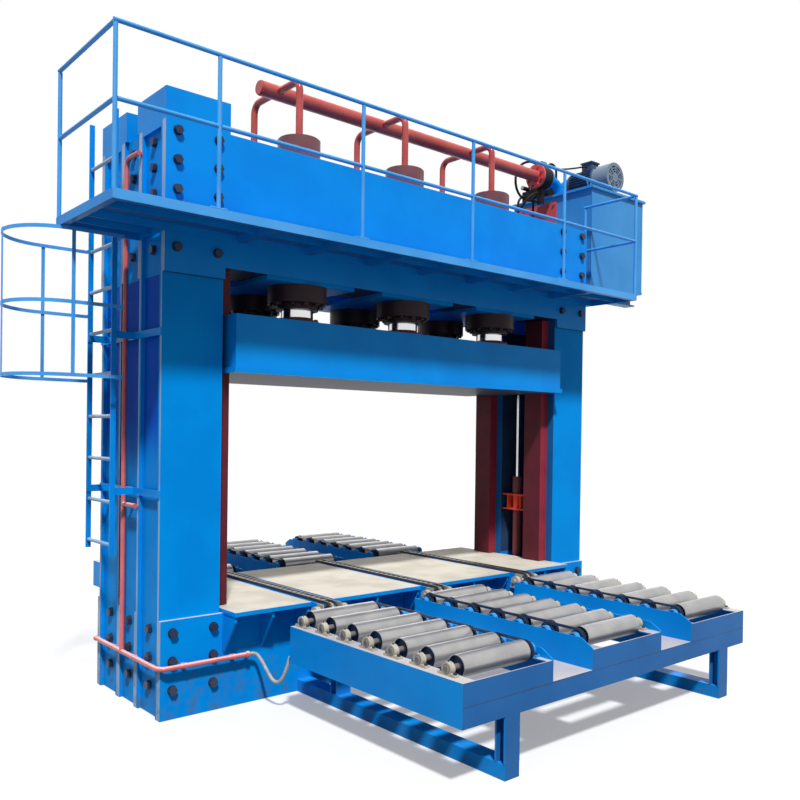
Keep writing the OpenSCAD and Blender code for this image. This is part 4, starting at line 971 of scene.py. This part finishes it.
@dataclass
class Walkway:
    """Platform, railing, ladder and cage."""

    post_x: tuple[float, ...] = (-2.174, -1.028, 0.095, 1.262)
    foot_inset: float = 0.032
    foot_size: Point = (0.110, 0.066, 0.008)
    foot_chamfer: float = 0.002
    foot_bolt_x: float = 0.041
    foot_bolt: float = 0.017
    cage_gap: float = 0.0002
    bar_places: tuple[tuple[int, float], ...] = ((90, 0.025), (180, 0.0), (270, 0.0))
    flat_bar: tuple[float, float] = (0.024, 0.005)
    hoop_bar: tuple[float, float] = (0.024, 0.007)
    hoop_count: int = 3
    hoop_pitch: float = 0.480
    hoop_steps: int = 48
    stile_side: float = 0.2263
    stile_half: float = 0.018
    rung_half: float = 0.2137
    rung_radius: float = 0.013
    upper_rung_z: tuple[float, ...] = (3.545, 3.845)

    def dress(self) -> None:
        """Paints the walkway."""
        dress(DECK_BLUE, "platform")
        dress(RAILING_BLUE, "guard_rails", "ladder_cage")
        dress(LADDER_BLUE, "ladder")

    def post_feet(self) -> None:
        """Bolts a foot plate round each railing post."""
        shop = Shop()
        low, high = corners("platform")
        y = low.y + self.foot_inset
        top = high.z + self.foot_size[2]
        for x in self.post_x:
            shop.plate((x, y, high.z), self.foot_size, self.foot_chamfer)
            for side in BOTH_SIDES:
                shop.bolt((x + side * self.foot_bolt_x, y, top), UPWARD, self.foot_bolt)
        shop.done("post_feet", RAILING_BLUE)

    def hoop(self, radius: float, reach: float) -> list[tuple[float, float]]:
        """The middle line of a hoop, from stile to stile round the climber.

        Args:
            radius: outer radius of the bend.
            reach: how far the straight ends reach past the axis.

        Returns:
            Points seen from above, from the cage's axis.
        """
        half = self.hoop_bar[1] / 2
        bend = radius - half
        end = reach - half
        angles = [math.radians(90 + 180 * k / self.hoop_steps) for k in range(self.hoop_steps + 1)]
        arc = [(bend * math.cos(angle), bend * math.sin(angle)) for angle in angles]
        return [(end, self.stile_side), (end, bend), *arc, (end, -bend), (end, -self.stile_side)]

    def cage(self) -> None:
        """Makes the cage's narrow hoops and upright bars in place of the plain solid."""
        shop = Shop()
        low, high = corners("ladder_cage")
        half = (high.y - low.y) / 2
        x, y = low.x + half, low.y + half
        radius = half - self.cage_gap - self.flat_bar[1]
        top = high.z - self.hoop_bar[0] / 2
        foot = top - self.hoop_pitch * (self.hoop_count - 1)
        for k in range(self.hoop_count):
            path = [(x + dx, y + dy, foot + self.hoop_pitch * k)
                    for dx, dy in self.hoop(radius, high.x - x)]
            shop.strap(path, UPWARD, self.hoop_bar)
        middle = radius + self.flat_bar[1] / 2
        for degrees, shift in self.bar_places:
            cosine, sine = math.cos(math.radians(degrees)), math.sin(math.radians(degrees))
            spot = (x + middle * cosine + shift, y + middle * sine)
            ends = [(*spot, foot - self.hoop_bar[0] / 2), (*spot, high.z)]
            shop.strap(ends, (-sine, cosine, 0), self.flat_bar)
        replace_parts(shop.done("cage_bars", RAILING_BLUE), "ladder_cage")

    def upper_rungs(self) -> None:
        """Sets the ladder's rungs above the platform."""
        shop = Shop()
        x = corners("ladder")[0].x + self.stile_half
        y = centre("ladder_cage").y - self.rung_half
        bar = [(self.rung_radius, 0.0), (self.rung_radius, 2 * self.rung_half)]
        for z in self.upper_rung_z:
            shop.lathe((x, y, z), ALONG_Y, bar, ROUND)
        shop.done("upper_rungs", LADDER_BLUE)


@dataclass
class RollerTables:
    """Roller tables in front of and behind the press."""

    count: int = 7
    block_x: tuple[float, ...] = (-1.486, -0.802, -0.361, 0.339, 0.802, 1.486)
    block_half: float = 0.018
    block_foot: float = 0.0155
    block_top: float = 0.0375
    block_bolt_y: float = 0.053
    block_bolt: float = 0.019
    nipple: tuple[tuple[float, float], ...] = (
        (0.005, 0.0), (0.005, 0.004), (0.003, 0.006), (0.0035, 0.010), (0.002, 0.012))
    plain_blocks: tuple[tuple[float, int], ...] = ((-1.486, -1), (0.339, 1), (1.486, 1))
    insert: tuple[tuple[float, float], ...] = (
        (0.0262, 0.0), (0.0262, 0.002), (0.0248, 0.003), (0.0215, 0.0030), (0.0205, 0.0022))
    insert_round: int = 28

    def dress(self) -> None:
        """Paints the roller tables."""
        dress(TABLE_BLUE, "infeed_frame", "outfeed_frame")
        dress(BEARING, "infeed_bearings")
        dress(DRIVE, "infeed_chains")
        rollers = [f"roller_{lane}{k}" for lane in "abc" for k in range(1, self.count + 1)]
        dress(ROLLER, "outfeed_rollers", *rollers)

    def axes(self, side: int) -> list[float]:
        """Places of the roller axes along Y, in front with -1 and behind with 1."""
        return [side * (FIRST_AXIS_Y + AXIS_PITCH * k) for k in range(self.count)]

    def bearing_fittings(self) -> None:
        """Sets the foot bolts and grease nipples of all pillow blocks."""
        bolts = Shop()
        nipples = Shop()
        foot_z = corners("infeed_bearings")[0].z + self.block_foot
        for table, x in product(BOTH_SIDES, self.block_x):
            for y in self.axes(table):
                for side in BOTH_SIDES:
                    bolts.bolt((x, y + side * self.block_bolt_y, foot_z), UPWARD, self.block_bolt)
                nipples.lathe((x, y, AXIS_Z + self.block_top), UPWARD, self.nipple, SMALL_ROUND)
        bolts.done("bearing_bolts", BOLT)
        nipples.done("grease_nipples", BOLT)

    def bearing_inserts(self) -> None:
        """Shows the steel insert rings in the outer faces of the plain side's pillow blocks."""
        shop = Shop()
        for (x, way), table in product(self.plain_blocks, BOTH_SIDES):
            face = x + way * self.block_half
            for y in self.axes(table):
                shop.lathe((face, y, AXIS_Z), (way, 0, 0), self.insert, self.insert_round)
        shop.done("bearing_inserts", INSERT)


@dataclass
class FlexConduit:
    """The flexible conduit that hangs between the rigid pipe and the infeed table."""

    width: float = 0.026
    groove: float = 0.90
    steps: int = 14
    sides: int = 14
    level: Point = (0.0, 0.35, 1.0)
    route: tuple[Point, ...] = (
        (-1.6397, -0.599, 0.362), (-1.610, -0.600, 0.362), (-1.584, -0.612, 0.354),
        (-1.568, -0.650, 0.320), (-1.556, -0.710, 0.255), (-1.547, -0.770, 0.202),
        (-1.538, -0.825, 0.194), (-1.530, -0.872, 0.232), (-1.521, -0.904, 0.300),
        (-1.513, -0.922, 0.356), (-1.510, -0.934, 0.386), (-1.510, -0.9497, 0.390))

    def line(self) -> list[Vector]:
        """The route as a smooth line through its points.

        Returns:
            Points along the line.
        """
        knots = [Vector(spot) for spot in self.route]
        line = []
        for a, b, c, d in zip([knots[0], *knots], knots, knots[1:], [*knots[2:], knots[-1]]):
            for j in range(self.steps):
                t = j / self.steps
                line.append(0.5 * (2 * b + (c - a) * t + (2 * a - 5 * b + 4 * c - d) * t * t
                                   + (3 * b - a - 3 * c + d) * t ** 3))
        return [*line, knots[-1]]

    def build(self) -> None:
        line = self.line()
        shop = Shop()
        angles = [math.tau * k / self.sides for k in range(self.sides)]
        rings = []
        for k, spot in enumerate(line):
            along = (line[min(k + 1, len(line) - 1)] - line[max(k - 1, 0)]).normalized()
            right = along.cross(Vector(self.level)).normalized()
            up = right.cross(along)
            radius = self.width / 2 * (1.0 if k % 2 else self.groove)
            rings.append(shop.ring(spot + radius * (math.cos(a) * right + math.sin(a) * up)
                                   for a in angles))
        shop.skin(rings)
        bmesh.ops.recalc_face_normals(shop.mesh, faces=shop.mesh.faces)
        hose = shop.done("flex_conduit", FLEX)
        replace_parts(hose, "flex_hose")
        length = sum((b - a).length for a, b in zip(line, line[1:]))
        dress(FLEX, "flex_hose")
        LOG.info("flexible conduit %.3f m long", length)


@dataclass(frozen=True)
class Lamp:
    """A far lamp: the way to it, its strength and how wide it looks."""

    name: str
    toward: Point
    strength: float
    spread: float

    def hang(self) -> None:
        """Adds the lamp to the scene."""
        data = bpy.data.lights.new(self.name, "SUN")
        data.energy = self.strength
        data.angle = self.spread
        lamp = bpy.data.objects.new(self.name, data)
        lamp.rotation_mode = "QUATERNION"
        lamp.rotation_quaternion = Vector(self.toward).to_track_quat("Z", "Y")
        bpy.context.scene.collection.objects.link(lamp)


@dataclass
class Studio:
    """Pale floor, soft light and the camera at the photograph's place."""

    eye: Point = (-4.72344, -5.77891, 1.95837)
    yaw: float = 0.70651
    pitch: float = -0.00791
    roll: float = 0.01337
    lens: float = 37.530
    sensor: float = 36.0
    shift: tuple[float, float] = (0.00738, 0.04862)
    sight: float = 200.0
    ambient: float = 0.30
    lamps: tuple[Lamp, ...] = (
        Lamp("key_light", (-0.357, -0.595, 1.0), 4.15, 0.08),
        Lamp("back_light", (0.50, 0.80, 0.55), 0.7, 0.9))
    white: float = 0.30
    bounce: Colour = (0.24, 0.24, 0.24)
    pale: Colour = (0.80, 0.80, 0.80)
    pale_drift: Colour = (0.76, 0.76, 0.76)
    floor_noise: float = 0.6
    floor_half: float = 60.0
    floor_cells: int = 8
    floor_z: float = -0.002

    def camera(self) -> None:
        """Sets the camera."""
        reach = math.cos(self.pitch)
        forward = Vector((math.sin(self.yaw) * reach, math.cos(self.yaw) * reach, math.sin(self.pitch)))
        right = forward.cross(Vector(UPWARD)).normalized()
        up = right.cross(forward)
        level = right * math.cos(self.roll) + up * math.sin(self.roll)
        head = up * math.cos(self.roll) - right * math.sin(self.roll)
        data = bpy.data.cameras.new("camera")
        data.lens = self.lens
        data.sensor_width = self.sensor
        data.shift_x, data.shift_y = self.shift
        data.clip_end = self.sight
        eye = bpy.data.objects.new("camera", data)
        turn = Matrix((level, head, -forward)).transposed().to_4x4()
        eye.matrix_world = Matrix.Translation(self.eye) @ turn
        bpy.context.scene.collection.objects.link(eye)
        bpy.context.scene.camera = eye

    def lights(self) -> None:
        """Hangs the lamps and the even light all round."""
        for lamp in self.lamps:
            lamp.hang()
        world = bpy.data.worlds.new("studio")
        bpy.context.scene.world = world
        graph = Graph(world)
        level = graph.backdrop_ray() * (1.0 - self.ambient) + self.ambient
        glow = graph.add("ShaderNodeBackground", None, {"Color": WHITE, "Strength": level})
        graph.close("ShaderNodeOutputWorld", glow)

    def floor(self) -> None:
        """Lays the pale floor, which shows white apart from the soft shadow."""
        mesh = bmesh.new()
        bmesh.ops.create_grid(mesh, x_segments=self.floor_cells, y_segments=self.floor_cells,
                              size=self.floor_half)
        data = bpy.data.meshes.new("floor")
        mesh.to_mesh(data)
        mesh.free()
        floor = bpy.data.objects.new("floor", data)
        floor.location.z = self.floor_z
        bpy.context.scene.collection.objects.link(floor)
        graph = Surface("pale_floor")
        seen = graph.backdrop_ray()
        pale = graph.blend(self.pale, self.pale_drift, graph.noise(self.floor_noise))
        matt = graph.add("ShaderNodeBsdfDiffuse", None, {"Color": graph.blend(self.bounce, pale, seen)})
        glow = graph.add("ShaderNodeEmission", None, {"Color": WHITE, "Strength": 1.0})
        mix = graph.add("ShaderNodeMixShader", None,
                        {0: seen * self.white, 1: matt.outputs[0], 2: glow.outputs[0]})
        graph.close("ShaderNodeOutputMaterial", mix)
        data.materials.append(graph.owner)


def main() -> None:
    """Builds the press in order: camera and cord first, then each sub-assembly, then the studio."""
    logging.basicConfig(level=logging.INFO, format="%(message)s")
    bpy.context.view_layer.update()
    bpy.context.scene.view_settings.view_transform = "Standard"
    studio = Studio()
    studio.camera()
    FlexConduit().build()
    press = PressFrame()
    press.dress()
    press.gusset_welds()
    press.column_welds()
    Cylinders().dress()
    Bed().dress()
    power = PowerUnit()
    power.dress()
    power.lid_screws()
    power.tank_welds()
    power.cowl_screws()
    power.conduit_straps()
    walkway = Walkway()
    walkway.dress()
    walkway.post_feet()
    walkway.cage()
    walkway.upper_rungs()
    tables = RollerTables()
    tables.dress()
    tables.bearing_fittings()
    tables.bearing_inserts()
    studio.lights()
    studio.floor()


if __name__ == "__main__":
    main()
